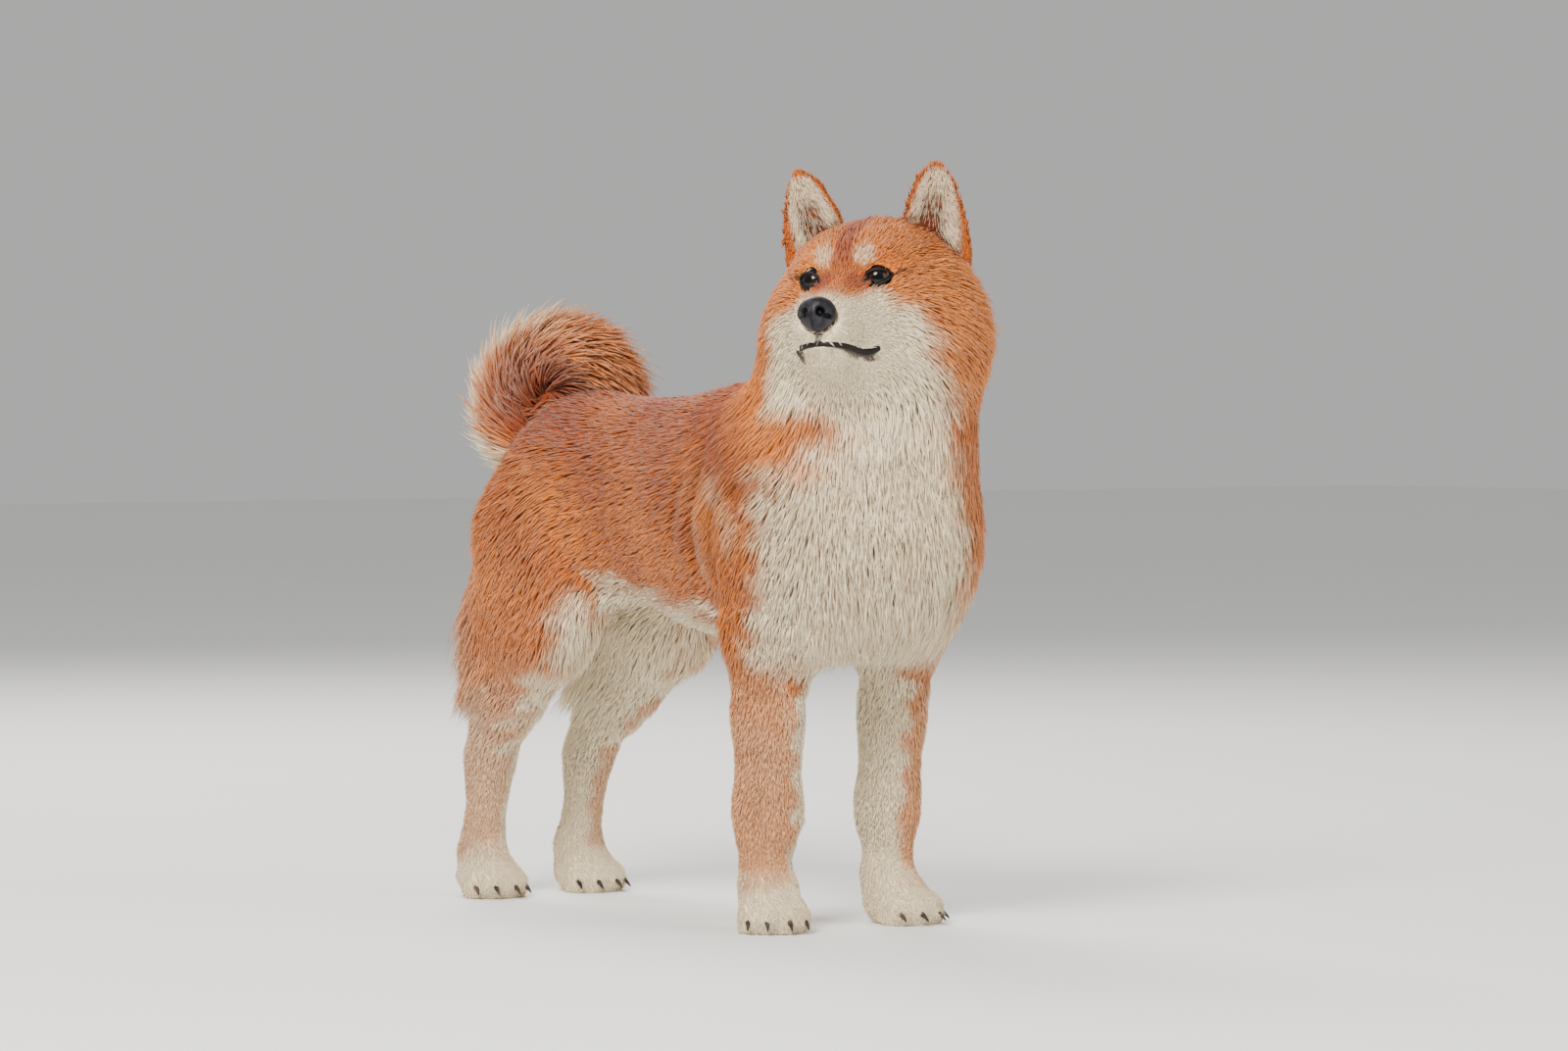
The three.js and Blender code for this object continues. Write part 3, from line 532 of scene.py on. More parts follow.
def skin_mesh():
    """One even surface over all nodes of flesh, the tail's core and the ball inside its curl."""
    bm = bmesh.new()
    for name in FLESH:
        add_copy(bm, frame["nodes"][name], SEAM_FILL)
    for t in np.linspace(0.0, 1.0, TAIL_BEADS):
        made = bmesh.ops.create_icosphere(bm, subdivisions=2, radius=float(tail_core(t)) * MM)
        bmesh.ops.translate(bm, vec=Vector(world(tail_point(t))), verts=made["verts"])
    filled = bmesh.ops.create_icosphere(bm, subdivisions=2, radius=CURL_FILL * MM)
    bmesh.ops.translate(bm, vec=Vector(world(CURL_HEART)), verts=filled["verts"])
    return remeshed("skin", mesh_of(bm, "skin_rough"), SKIN_VOXEL)


# The face: the eyeball and how far it looks aside, half the width and height of the opening between the lids,
# how far that slants, and the lids' thickness
EYE_RADIUS = 12.0
GAZE_ASIDE = 20
OPENING = (10.8, 6.0)
OPENING_SLANT = 12
LID = 1.5


class Eye:
    """One eye: its middle, the way it looks, and the ways to its outer corner and up."""

    def __init__(self, side, s):
        self.side = side
        self.middle = box_middle("eye_" + side) - SHIFT
        turn = math.radians(s * GAZE_ASIDE)
        self.gaze = unit(HEAD_TURN @ vec(math.cos(turn), math.sin(turn), 0))
        up = HEAD_TURN @ vec(0, 0, 1)
        outer = unit(np.cross(up, self.gaze)) * s
        slant = math.radians(OPENING_SLANT)
        self.outer = outer * math.cos(slant) + up * math.sin(slant)
        self.up = unit(np.cross(self.gaze, self.outer)) * s
        self.up = self.up if self.up @ up > 0 else -self.up

    def local(self, points):
        """Across to the outer corner, up and forward, in millimetres from the middle of the eye."""
        rel = points - self.middle
        return rel @ self.outer, rel @ self.up, rel @ self.gaze

    @staticmethod
    def edge(across):
        """Half height of the opening at a place across it: fuller above and towards the inner corner."""
        t = np.clip(across / OPENING[0], -1, 1)
        arch = np.maximum(0, 1 - t * t) ** 0.8 * (1 - 0.18 * t)
        return OPENING[1] * arch, -0.86 * OPENING[1] * arch

    def outside(self, points):
        """How far each point lies outside the opening, below zero within it."""
        across, up, _ = self.local(points)
        above, below = self.edge(across)
        gap = np.where(up > 0, up - above, below - up)
        return np.where(np.abs(across) > OPENING[0], np.hypot(np.abs(across) - OPENING[0], up), gap)

    def rim(self, radius, count):
        """Points round the opening, at a distance from the middle of the eye."""
        points = []
        for i in range(count):
            turn = 2 * math.pi * i / count
            across = OPENING[0] * math.cos(turn)
            above, below = self.edge(across)
            height = float(above if math.sin(turn) >= 0 else below)
            forward = math.sqrt(max(radius**2 - across**2 - height**2, 1))
            points.append(self.middle + self.outer * across + self.up * height + self.gaze * forward)
        return points


EYES = [Eye(side, s) for side, s in SIDES]
NOSE_AT = (104, 0, -27)
NOSE_RADII = (12.5, 14.5, 12.7)


def refine(mesh, test):
    """Cuts each edge whose both ends pass the test in two."""
    bm = bmesh.new()
    bm.from_mesh(mesh)
    bm.verts.ensure_lookup_table()
    chosen = test(np.array([v.co[:] for v in bm.verts]) / MM - SHIFT)
    edges = [e for e in bm.edges if chosen[e.verts[0].index] and chosen[e.verts[1].index]]
    bmesh.ops.subdivide_edges(bm, edges=edges, cuts=1, use_grid_fill=True)
    bm.to_mesh(mesh)
    bm.free()


# The stretch of the head that gets finer faces
FACE_BACK, FACE_ASIDE, FACE_LOW, FACE_HIGH = -4, 60, -75, 45
# The stretch round the mouth that gets finer ones still
MOUTH_BACK, MOUTH_LOW, MOUTH_HIGH = 50, -66, -38


def near_face(points):
    hx, hy, hz = in_head(points).T
    return (hx > FACE_BACK) & (np.abs(hy) < FACE_ASIDE) & (hz > FACE_LOW) & (hz < FACE_HIGH)


def near_features(points):
    """Points round the eyes and along the mouth."""
    hx, hy, hz = in_head(points).T
    near = (hx > MOUTH_BACK) & (hz < MOUTH_HIGH) & (hz > MOUTH_LOW)
    for eye in EYES:
        near |= far(points - eye.middle) < 2 * EYE_RADIUS
    return near


MOUTH_STEPS = 28


def mouth_path(skin_tree, s):
    """The line of the mouth on the skin, from under the nose to the corner."""
    knots = np.array([head_point(x, s * y, z) for x, y, z in MOUTH])
    spots = np.linspace(0, len(knots) - 1, MOUTH_STEPS)
    line = np.stack([np.interp(spots, range(len(knots)), knots[:, c]) for c in range(3)], 1)
    line = np.apply_along_axis(lambda c: np.convolve(np.pad(c, 2, "edge"), np.ones(5) / 5, "valid"), 0, line)
    on_skin = []
    for p in line:
        local = in_head(p[None])[0]
        outside = head_point(local[0] + 26, local[1] * 2.2, local[2])
        toward = head_point(50, 0, local[2] + 6) - outside
        hit = skin_tree.ray_cast(Vector(world(outside)), Vector(unit(toward)))
        if hit[0] is not None:
            on_skin.append(vec(*hit[0]) / MM - SHIFT)
    return np.array(on_skin)


GROOVE = {"depth": 1.2, "at": 4.2, "width": 1.3}
MOUTH_CUT = {"depth": 1.8, "width": 1.1}
LIP_SWELL = {"height": 0.9, "at": 2.6, "width": 1.6}


def sculpt_face(points, normals, mouths):
    """Raises the lids round each eyeball, opens the eyes, and cuts the mouth between its lips."""
    for eye in EYES:
        _, up, forward = eye.local(points)
        reach = far(points - eye.middle)
        near = (reach < 26) & (forward > 0)
        outside = eye.outside(points)
        lid = EYE_RADIUS + LID - 1.2 * ramp(3, 9, outside) - 6 * ramp(8, 18, outside)
        target = np.where(outside > 0, np.maximum(reach, lid), EYE_RADIUS - 2.0)
        groove = GROOVE["depth"] * np.exp(-(((outside - GROOVE["at"]) / GROOVE["width"]) ** 2)) * (up > 0)
        target = np.where(outside > 0, target - groove, target)
        moved = eye.middle + (points - eye.middle) / reach[:, None] * target[:, None]
        points = np.where(near[:, None], moved, points)
    for line in mouths:
        gap = np.full(len(points), 1e9)
        for p in line:
            gap = np.minimum(gap, far(points - p))
        cut = MOUTH_CUT["depth"] * np.exp(-((gap / MOUTH_CUT["width"]) ** 2))
        swell = LIP_SWELL["height"] * np.exp(-(((gap - LIP_SWELL["at"]) / LIP_SWELL["width"]) ** 2))
        points = points + normals * (swell - cut)[:, None]
    return points


# Material nodes
def operator(name, turned_round=False):
    """A method that adds one Math node."""

    def method(self, other):
        pair = (other, self) if turned_round else (self, other)
        return self.graph.node("ShaderNodeMath", {"operation": name}, dict(enumerate(pair)))[0]

    return method


class Sock:
    """A socket that adds Math nodes for the operators used on it."""

    def __init__(self, graph, socket):
        self.graph, self.socket = graph, socket

    __add__, __radd__ = operator("ADD"), operator("ADD", True)
    __sub__, __rsub__ = operator("SUBTRACT"), operator("SUBTRACT", True)
    __mul__, __rmul__ = operator("MULTIPLY"), operator("MULTIPLY", True)
    __truediv__ = operator("DIVIDE")

    def between(self, low, high):
        """0 at low, 1 at high, smooth between."""
        settings = {"interpolation_type": "SMOOTHSTEP"}
        return self.graph.node("ShaderNodeMapRange", settings, {0: self, 1: low, 2: high, 3: 0.0, 4: 1.0})[0]


class Graph:
    """One material: its nodes are added by one method."""

    def __init__(self, name):
        self.material = bpy.data.materials.new(name)
        self.material.use_nodes = True
        self.tree = self.material.node_tree
        self.shader = self.tree.nodes["Principled BSDF"]

    def node(self, kind, settings=None, inputs=None):
        made = self.tree.nodes.new(kind)
        for key, value in (settings or {}).items():
            setattr(made, key, value)
        for key, value in (inputs or {}).items():
            self.feed(made.inputs[key], value)
        return [Sock(self, socket) for socket in made.outputs]

    def feed(self, socket, value):
        if isinstance(value, Sock):
            self.tree.links.new(value.socket, socket)
        else:
            socket.default_value = value

    def set(self, **values):
        for key, value in values.items():
            self.feed(self.shader.inputs[key.replace("_", " ")], value)

    def mix(self, share, first, second, blend="MIX"):
        settings = {"data_type": "RGBA", "blend_type": blend}
        return self.node("ShaderNodeMix", settings, {0: share, 6: first, 7: second})[2]

    def noise(self, scale, detail):
        inputs = {"Scale": scale, "Detail": detail, "Vector": self.place()}
        return self.node("ShaderNodeTexNoise", {}, inputs)[0]

    def kept(self, name):
        """An attribute kept at each vertex: its colour, its number and its alpha."""
        sockets = self.node("ShaderNodeAttribute", {"attribute_name": name})
        return sockets[0], sockets[2], sockets[3]

    def place(self):
        return self.node("ShaderNodeTexCoord")[3]

    def bump(self, height, strength, distance):
        made = self.node("ShaderNodeBump", {}, {"Strength": strength, "Distance": distance, "Height": height})
        self.set(Normal=made[0])


def linear(c):
    return ((c / 255 + 0.055) / 1.055) ** 2.4 if c > 10 else c / 255 / 12.92


def colour(*screen):
    """A colour as a screen shows it, 0 to 255, turned to linear light."""
    return (*map(linear, screen), 1)


ORANGE = colour(228, 128, 24)
DEEP_RED = colour(162, 62, 5)
CREAM = colour(247, 232, 198)
# Painted shade: darker copies of the red and the cream, taken by each hair towards its root
ROOT_SHADE_RED = colour(142, 62, 12)
ROOT_SHADE_CREAM = colour(190, 160, 118)
BLACK = colour(20, 15, 14)
PALE_ORANGE = colour(234, 202, 150)


def coat_material(name, hair):
    """The coat's colours, from the markings and the painted shade kept at each vertex. Hair darkens to its
    root with painted shade, and varies at random.
    """
    g = Graph(name)
    marks, _, along = g.kept("marking")
    white, red, lot = g.node("ShaderNodeSeparateColor", {}, {0: marks})
    dark = g.kept("dark")[1]
    fine = g.noise(900, 2)
    broad = g.noise(45, 3)
    warm = g.mix(red + (broad - 0.5) * 0.35, ORANGE, DEEP_RED)
    pale = g.mix((broad - 0.35) * 0.7, CREAM, PALE_ORANGE)
    base = g.mix(white, warm, pale)
    if hair:
        # Painted shade: each hair darkens towards its root, deep in the coat
        root = g.mix(white, ROOT_SHADE_RED, ROOT_SHADE_CREAM)
        base = g.mix(along.between(-0.15, 0.55), root, base)
        shade = 0.86 + lot * 0.22 + (fine - 0.5) * 0.2
        grey = g.node("ShaderNodeCombineColor", {}, {0: shade, 1: shade, 2: shade})[0]
        base = g.mix(1.0, base, grey, "MULTIPLY")
    # The dark share turns it black: dark markings, and painted shade in folds, the tail's curl and ear cups
    g.set(Base_Color=g.mix(dark, base, BLACK), Roughness=0.72 + (fine - 0.5) * 0.2)
    g.set(Sheen_Weight=0.12, Sheen_Roughness=0.5, Specular_IOR_Level=0.28)
    if not hair:
        g.bump(g.noise(1400, 3), 0.5, 0.0006)
    return g.material


def attach(obj, material):
    obj.data.materials.clear()
    obj.data.materials.append(material)
    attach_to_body(obj, "root")
    return obj


# Bare skin stands for the middle of a tuft
SKIN_LOT = 0.5
SKIN_ALONG = 0.6


def keep_marking(mesh, white, red, dark, lot=SKIN_LOT, along=SKIN_ALONG):
    """Keeps the markings, each tuft's own lot and the place along it at each vertex, and the dark share of
    dark markings and painted shade.
    """
    values = np.stack(np.broadcast_arrays(white, red, lot, along), 1).astype(np.float32)
    mesh.attributes.new("marking", "FLOAT_COLOR", "POINT").data.foreach_set("color", values.ravel())
    mesh.attributes.new("dark", "FLOAT", "POINT").data.foreach_set("value", dark.astype(np.float32))


# Parts whose flesh is evened out more, because long hair hides their shape and stands in one flow
EVENED = [GROUPS.index(group) for group in ("cheeks", "neck", "chest", "haunches")]
SOLE_EDGE = (1.0, 4.0)


def make_skin():
    """The skin, sunk by the folds and by the coat's depth, with its face sculpted, and the mouth's lines."""
    skin = skin_mesh()
    edges = edges_of(skin)
    points = smooth(vertices_of(skin), edges, 6)
    evened = np.isin(Coat(points, normals_of(skin)).group, EVENED).astype(float)
    evened = smooth(np.repeat(evened[:, None], 3, 1), edges, 12, back=0)[:, 0]
    points = smooth(points, edges, 26, where=evened, back=0)
    set_vertices(skin, points)
    normals = normals_of(skin)
    coat = Coat(points, normals)
    points = points - normals * (FOLDS[0][3] * fold_depth(points))[:, None]
    off_sole = ramp(*SOLE_EDGE, points[:, 2])
    points = points - normals * (coat.depth * off_sole * (1 - coat.on_tail))[:, None]
    set_vertices(skin, points)
    refine(skin, near_face)
    face = near_face(vertices_of(skin)).astype(float)
    set_vertices(skin, smooth(vertices_of(skin), edges_of(skin), 3, where=face))
    refine(skin, near_features)
    bm = bmesh.new()
    bm.from_mesh(skin)
    tree = BVHTree.FromBMesh(bm)
    bm.free()
    mouths = [mouth_path(tree, s) for side, s in SIDES]
    set_vertices(skin, sculpt_face(vertices_of(skin), normals_of(skin), mouths))
    shade_smooth(skin)
    keep_marking(skin, *markings_and_shade(vertices_of(skin), normals_of(skin)))
    piece = attach(link("skin", skin), coat_material("skin_under_coat", False))
    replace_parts(piece, *FLESH, *TAIL)
    return skin, mouths


skin, mouths = make_skin()


# Tufts: each a tapered blade with a three-sided section, rooted under the skin and lying along the coat
TUFT_SECTIONS = {"short": ((0.0, 0.85), (0.5, 0.9)), "long": ((0.0, 0.7), (0.35, 1.0), (0.72, 0.62))}
TUFT_ROOT = 0.8
PIECE_TRIANGLES = 190_000
# How pale the tips are, on the parts where they are paler than elsewhere
PALE_TIPS = {"tail": 0.32, "cheeks": 0.2, "haunches": 0.2, "neck": 0.16, "chest": 0.25}
PALE_ELSEWHERE = 0.1
LONG = {"neck", "chest", "haunches", "tail", "cheeks"}
# How much tufts vary in direction, length and width
SWING = 0.16
LENGTH_VARIES = 0.18
WIDTH_VARIES = 0.15
# The width of one tuft's patch on the unwrap
PATCH = 0.003


def sample_skin(mesh, density_at, seed):
    """Random places on a mesh and its normals there, with so many to the square millimetre."""
    mesh.calc_loop_triangles()
    corners = rows_of(mesh.loop_triangles, "vertices", 3, np.int64)
    at, facing = vertices_of(mesh), normals_of(mesh)
    a, b, c = (at[corners[:, i]] for i in range(3))
    area = far(np.cross(b - a, c - a)) / 2
    middle = (a + b + c) / 3
    facing_middle = unit(facing[corners].mean(1))
    expected = area * density_at(middle, facing_middle)
    draw = np.random.default_rng(seed)
    count = np.floor(expected + draw.random(len(expected))).astype(int)
    which = np.repeat(np.arange(len(area)), count)
    u, v = draw.random((2, len(which)))
    fold = u + v > 1
    u[fold], v[fold] = 1 - u[fold], 1 - v[fold]
    share = np.stack([1 - u - v, u, v], 1)[:, :, None]
    return (at[corners[which]] * share).sum(1), unit((facing[corners[which]] * share).sum(1))


def tuft_arrays(roots, normals, flow, length, width, depth, lift, shape):
    """Vertices, triangles and how far along its tuft each vertex lies, for many tufts of one shape."""
    sections = TUFT_SECTIONS[shape]
    side = unit(np.cross(flow, normals))
    rise = np.clip(depth / length + 0.06, 0, 0.75) + lift
    rise = np.clip(rise + 0.05 * rng.normal(size=len(rise)), 0.04, 1.2)
    levels, along = [], []
    for at, wide in sections:
        height = length * (rise * (at - 0.45 * at * at) * 1.3) - TUFT_ROOT * (at == 0)
        middle = roots + flow * (length * at)[:, None] + normals * height[:, None]
        half = side * (width * wide / 2)[:, None]
        thick = normals * (width * wide * 0.28)[:, None]
        levels += [middle - half, middle + half, middle + thick]
        along += [at] * 3
    tip_height = length * rise * 0.72
    levels.append(roots + flow * length[:, None] + normals * tip_height[:, None])
    along.append(1.0)
    vertices = np.stack(levels, 1)
    count = vertices.shape[1]
    faces = [(0, 2, 1)]
    for i in range(len(sections) - 1):
        low = i * 3
        for j in range(3):
            p, q = low + j, low + (j + 1) % 3
            faces += [(p, q, q + 3), (p, q + 3, p + 3)]
    low = len(sections) * 3 - 3
    faces += [(low + j, low + (j + 1) % 3, count - 1) for j in range(3)]
    triangles = np.array(faces)[None] + (np.arange(len(roots)) * count)[:, None, None]
    return vertices, triangles, np.array(along)


def mesh_from(name, vertices, triangles):
    mesh = bpy.data.meshes.new(name)
    flat = world(vertices.reshape(-1, 3)).astype(np.float32)
    corners = triangles.reshape(-1).astype(np.int32)
    mesh.vertices.add(len(flat))
    mesh.vertices.foreach_set("co", flat.ravel())
    mesh.loops.add(len(corners))
    mesh.loops.foreach_set("vertex_index", corners)
    mesh.polygons.add(len(corners) // 3)
    mesh.polygons.foreach_set("loop_start", np.arange(0, len(corners), 3, dtype=np.int32))
    mesh.update(calc_edges=True)
    shade_smooth(mesh)
    return mesh


UNWRAP_AXES = {
    "face": (head_point(-60, 0, -20), head_point(110, 0, -34)),
    "skull": (head_point(-60, 0, 0), head_point(60, 0, 0)),
    "cheeks": (head_point(-60, 0, -20), head_point(60, 0, -30)),
    "neck": (vec(130, 0, 300), vec(215, 0, 450)),
    "chest": (vec(190, 0, 200), vec(215, 0, 430)),
    "back": (vec(-260, 0, 300), vec(230, 0, 300)),
    "flanks": (vec(-260, 0, 290), vec(230, 0, 290)),
    "belly": (vec(-260, 0, 290), vec(230, 0, 290)),
    "forelegs": (vec(165, 60, 0), vec(172, 60, 330)),
    "paws": (vec(-240, 55, 14), vec(220, 55, 14)),
    "haunches": (vec(-160, 55, 120), vec(-140, 55, 360)),
    "hindlegs": (vec(-216, 48, 0), vec(-130, 60, 220)),
    "tail": (vec(-192, -60, 388), vec(-192, 90, 388)),
}
PAIRED = {"forelegs", "paws", "haunches", "hindlegs"}


def unwrap(group, points):
    """Each point's place on a rolled-out cylinder round its part; paired legs take half of the sheet each."""
    low, high = UNWRAP_AXES[group]
    paired = group in PAIRED
    left = points[:, 1] > 0
    at = points * np.where(left, 1, -1)[:, None] ** np.array([0, 1, 0]) if paired else points
    axis = high - low
    reach = np.linalg.norm(axis)
    axis = axis / reach
    across = unit(np.cross(axis, [0.13, 0.27, 0.95]))
    other = np.cross(axis, across)
    rel = at - low
    turn = np.arctan2(rel @ across, rel @ other) / (2 * math.pi) + 0.5
    along = np.clip((rel @ axis) / reach * 0.9 + 0.05, 0.01, 0.99)
    turn = np.clip(turn, 0.004, 0.996)
    if paired:
        turn = turn / 2 + np.where(left, 0.5, 0)
    return np.stack([turn, along], 1)


def add_bake_map(mesh, group, roots, vertices, triangles, along):
    layer = mesh.uv_layers.new(name="OFBake")
    count = vertices.shape[1]
    across = np.tile([-1.0, 1.0, 0.0], count)[: count - 1]
    spread = np.stack([np.append(across, 0.0), 2 * along - 1], 1) * PATCH / 2
    place = unwrap(group, roots)[:, None, :] + spread[None]
    uv = place.reshape(-1, 2)[triangles.reshape(-1)]
    layer.data.foreach_set("uv", uv.astype(np.float32).ravel())


coat_hair = coat_material("coat_hair", True)


def coat_pieces(group, roots, normals, seed):
    """Joined tufts of one part of the coat, split so that no piece is too large."""
    coat = Coat(roots, normals)
    shape = "long" if group in LONG else "short"
    per_tuft = 6 * len(TUFT_SECTIONS[shape]) - 2
    parts = max(1, math.ceil(len(roots) / (PIECE_TRIANGLES // per_tuft)))
    order = np.argsort(roots[:, 0] + 0.3 * roots[:, 2])
    draw = np.random.default_rng(seed)
    for part, chosen in enumerate(np.array_split(order, parts)):
        n = len(chosen)
        p, facing, flow = roots[chosen], normals[chosen], coat.flow[chosen]
        swing = draw.normal(size=n) * SWING
        flow = unit(flow + np.cross(facing, flow) * swing[:, None])
        length = coat.length[chosen] * (1 + LENGTH_VARIES * draw.normal(size=n)).clip(0.55, 1.5)
        width = coat.width[chosen] * (1 + WIDTH_VARIES * draw.normal(size=n)).clip(0.6, 1.5)
        vertices, triangles, along = tuft_arrays(
            p, facing, flow, length, width, coat.depth[chosen], coat.lift[chosen], shape
        )
        name = f"coat_{group}" + (f"_{part + 1}" if parts > 1 else "")
        mesh = mesh_from(name, vertices, triangles)
        each = vertices.shape[1]
        along_all = np.tile(along, n)
        white, red, dark = (np.repeat(mark, each) for mark in markings_and_shade(p, facing))
        white = white + (1 - white) * PALE_TIPS.get(group, PALE_ELSEWHERE) * along_all**3
        keep_marking(mesh, white, red, dark, np.repeat(draw.random(n), each), along_all)
        add_bake_map(mesh, group, p, vertices, triangles, along)
        attach(link(name, mesh), coat_hair)


# No tuft grows nearer than this to the eyes' openings, the nose, the line of the mouth and the floor
EYE_CLEAR = 1.3
NOSE_CLEAR = 1.0
MOUTH_CLEAR = 2.9
FLOOR_CLEAR = 2.0


def tufts_to_area(points, normals):
    """Tufts to the square millimetre of the skin."""
    density = 1 / Coat(points, normals).gap ** 2
    for eye in EYES:
        forward = eye.local(points)[2]
        near = (forward > 0) & (far(points - eye.middle) < 20)
        density = np.where(near & (eye.outside(points) < EYE_CLEAR), 0, density)
    nose = far((in_head(points) - NOSE_AT) / (vec(*NOSE_RADII) + NOSE_CLEAR))
    density = np.where(nose < 1.0, 0, density)
    for line in mouths:
        gap = np.min([far(points - p) for p in line], axis=0)
        density = np.where(gap < MOUTH_CLEAR, 0, density)
    return np.where(points[:, 2] < FLOOR_CLEAR, 0, density)


roots, root_normals = sample_skin(skin, tufts_to_area, 11)
root_group = Coat(roots, root_normals).group
for index, group in enumerate(GROUPS):
    chosen = root_group == index
    coat_pieces(group, roots[chosen], root_normals[chosen], 100 + index)


# Eyes: a wet dark ball with a brown iris round the pupil
def eye_material(eye):
    g = Graph("eye_" + eye.side)
    place = g.place()
    middle = tuple(world(eye.middle))
    rel = g.node("ShaderNodeVectorMath", {"operation": "SUBTRACT"}, {0: place, 1: middle})[0]
    aim = g.node("ShaderNodeVectorMath", {"operation": "DOT_PRODUCT"}, {0: rel, 1: tuple(eye.gaze)})[1]
    size = g.node("ShaderNodeVectorMath", {"operation": "LENGTH"}, {0: rel})[1]
    off = 1 - aim / size
    fibres = g.noise(700, 4)
    iris = g.mix(fibres.between(0.35, 0.7), colour(14, 8, 6), colour(44, 23, 13))
    ring = g.mix(off.between(0.20, 0.27), iris, colour(12, 8, 7))
    pupil = g.mix(off.between(0.035, 0.05), colour(3, 3, 4), ring)
    g.set(Base_Color=pupil, Roughness=0.06, Specular_IOR_Level=0.3)
    return g.material


def eyeball(eye):
    bm = bmesh.new()
    bmesh.ops.create_uvsphere(bm, u_segments=48, v_segments=32, radius=EYE_RADIUS * MM)
    middle = Vector(world(eye.middle))
    gaze = Vector(eye.gaze)
    for v in bm.verts:
        aim = v.co.normalized().dot(gaze)
        bulge = max(0.0, (aim - 0.84) / 0.16)
        v.co = v.co * (1 + 0.045 * bulge * (2 - bulge)) + middle
    piece = attach(link("eyeball_" + eye.side, mesh_of(bm, "eye_" + eye.side)), eye_material(eye))
    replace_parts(piece, "eye_" + eye.side)


TUBE_SIDES = 8


def tube_mesh(name, line, radii, closed=False):
    """A round-sectioned strip along a line, with its radius given at each point."""
    sides = TUBE_SIDES
    bm = bmesh.new()
    rings = []
    count = len(line)
    line = [Vector(world(p)) for p in line]
    for i, p in enumerate(line):
        before = line[(i - 1) % count] if closed or i else p
        after = line[(i + 1) % count] if closed or i + 1 < count else p
        axis = (after - before).normalized()
        first = axis.orthogonal() if i == 0 else (rings[-1][0].co - line[i - 1])
        first = (first - axis * first.dot(axis)).normalized()
        second = axis.cross(first)
        ring = []
        for j in range(sides):
            turn = 2 * math.pi * j / sides
            out = first * math.cos(turn) + second * math.sin(turn)
            ring.append(bm.verts.new(p + out * radii[i] * MM))
        rings.append(ring)
    for i in range(count if closed else count - 1):
        a, b = rings[i], rings[(i + 1) % count]
        offset = 0
        if closed and i == count - 1:
            offset = min(range(sides), key=lambda k: (a[0].co - b[k].co).length)
        for j in range(sides):
            bm.faces.new((a[j], a[(j + 1) % sides], b[(j + 1 + offset) % sides], b[(j + offset) % sides]))
    if not closed:
        bm.faces.new(rings[0])
        bm.faces.new(rings[-1])
    bmesh.ops.recalc_face_normals(bm, faces=bm.faces)
    return mesh_of(bm, name)


def leather(name, dark, light, grain, rough):
    """Pebbled dark skin or horn, with painted shade that turns black the hollows that its mesh keeps."""
    g = Graph(name)
    tone = g.noise(160, 4)
    settings = {"feature": "SMOOTH_F1"}
    pebble = g.node("ShaderNodeTexVoronoi", settings, {"Vector": g.place(), "Scale": grain})[0]
    # Painted shade: the kept dark share turns the hollows black
    base = g.mix(g.kept("dark")[1], g.mix(tone.between(0.35, 0.75), dark, light), colour(4, 4, 4))
    g.set(Base_Color=base, Roughness=rough + (tone - 0.5) * 0.25, Specular_IOR_Level=0.22)
    g.bump(pebble, 0.35, 0.0004)
    return g.material


RIM_RADIUS = 1.25
RIM_POINTS = 48
# The lips grow thicker towards the corner
LIP_RADIUS = 2.1
LIP_MORE = 1.2
lip_skin = leather("lip_skin", colour(14, 11, 11), colour(30, 22, 21), 1500, 0.5)
for eye in EYES:
    eyeball(eye)
    line = eye.rim(EYE_RADIUS + 0.8, RIM_POINTS)
    rim = tube_mesh("lid_rim_" + eye.side, line, [RIM_RADIUS] * RIM_POINTS, closed=True)
    attach(link("lid_rim_" + eye.side, rim), lip_skin)
for (side, s), line in zip(SIDES, mouths):
    spots = np.linspace(0, 1, len(line))
    radii = LIP_RADIUS + LIP_MORE * spots**2 * (1 - 0.5 * ramp(0.9, 1, spots))
    attach(link("lips_" + side, tube_mesh("lips_" + side, line, radii)), lip_skin)


def nose_piece():
    """A leathery pad with comma-shaped nostrils and a groove down its middle."""
    bm = bmesh.new()
    bmesh.ops.create_icosphere(bm, subdivisions=6, radius=1.0)
    ball = np.array([v.co[:] for v in bm.verts])
    shape = ball * NOSE_RADII
    shape[:, 2] += 1.6 * ramp(0.2, 0.9, ball[:, 0]) * ramp(-0.2, 0.6, ball[:, 2])
    shape[:, 1] *= 1 - 0.22 * ramp(-0.1, -1, ball[:, 2])
    dent = np.zeros(len(ball))
    for s in (-1, 1):
        hole = far((shape - vec(10.0, s * 6.6, -0.6)) / [5.0, 3.6, 4.0])
        slit = far((shape - vec(6.0, s * 11.6, -3.6)) / [6.5, 4.5, 1.9])
        dent = np.maximum(dent, 5.4 * ramp(1.2, 0.5, hole))
        dent = np.maximum(dent, 3.2 * ramp(1.2, 0.4, slit))
    crease = 1.1 * ramp(1.3, 0.1, np.abs(shape[:, 1])) * ramp(3, -3, shape[:, 2]) * (shape[:, 0] > 2)
    shape = shape - unit(ball) * (dent + crease)[:, None]
    tilt = turned((0, 1, 0), -10)
    placed = HEAD_MIDDLE + (shape @ tilt.T + vec(*NOSE_AT)) @ HEAD_TURN.T
    for v, p in zip(bm.verts, world(placed)):
        v.co = p
    mesh = mesh_of(bm, "nose")
    # Painted shade: the nostrils' dents are darkened to black by their depth
    hollow = ramp(0.4, 2.4, dent).astype(np.float32)
    mesh.attributes.new("dark", "FLOAT", "POINT").data.foreach_set("value", hollow)
    pad = leather("nose_leather", colour(20, 19, 22), colour(50, 49, 57), 900, 0.42)
    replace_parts(attach(link("nose_pad", mesh), pad), "nose")


nose_piece()

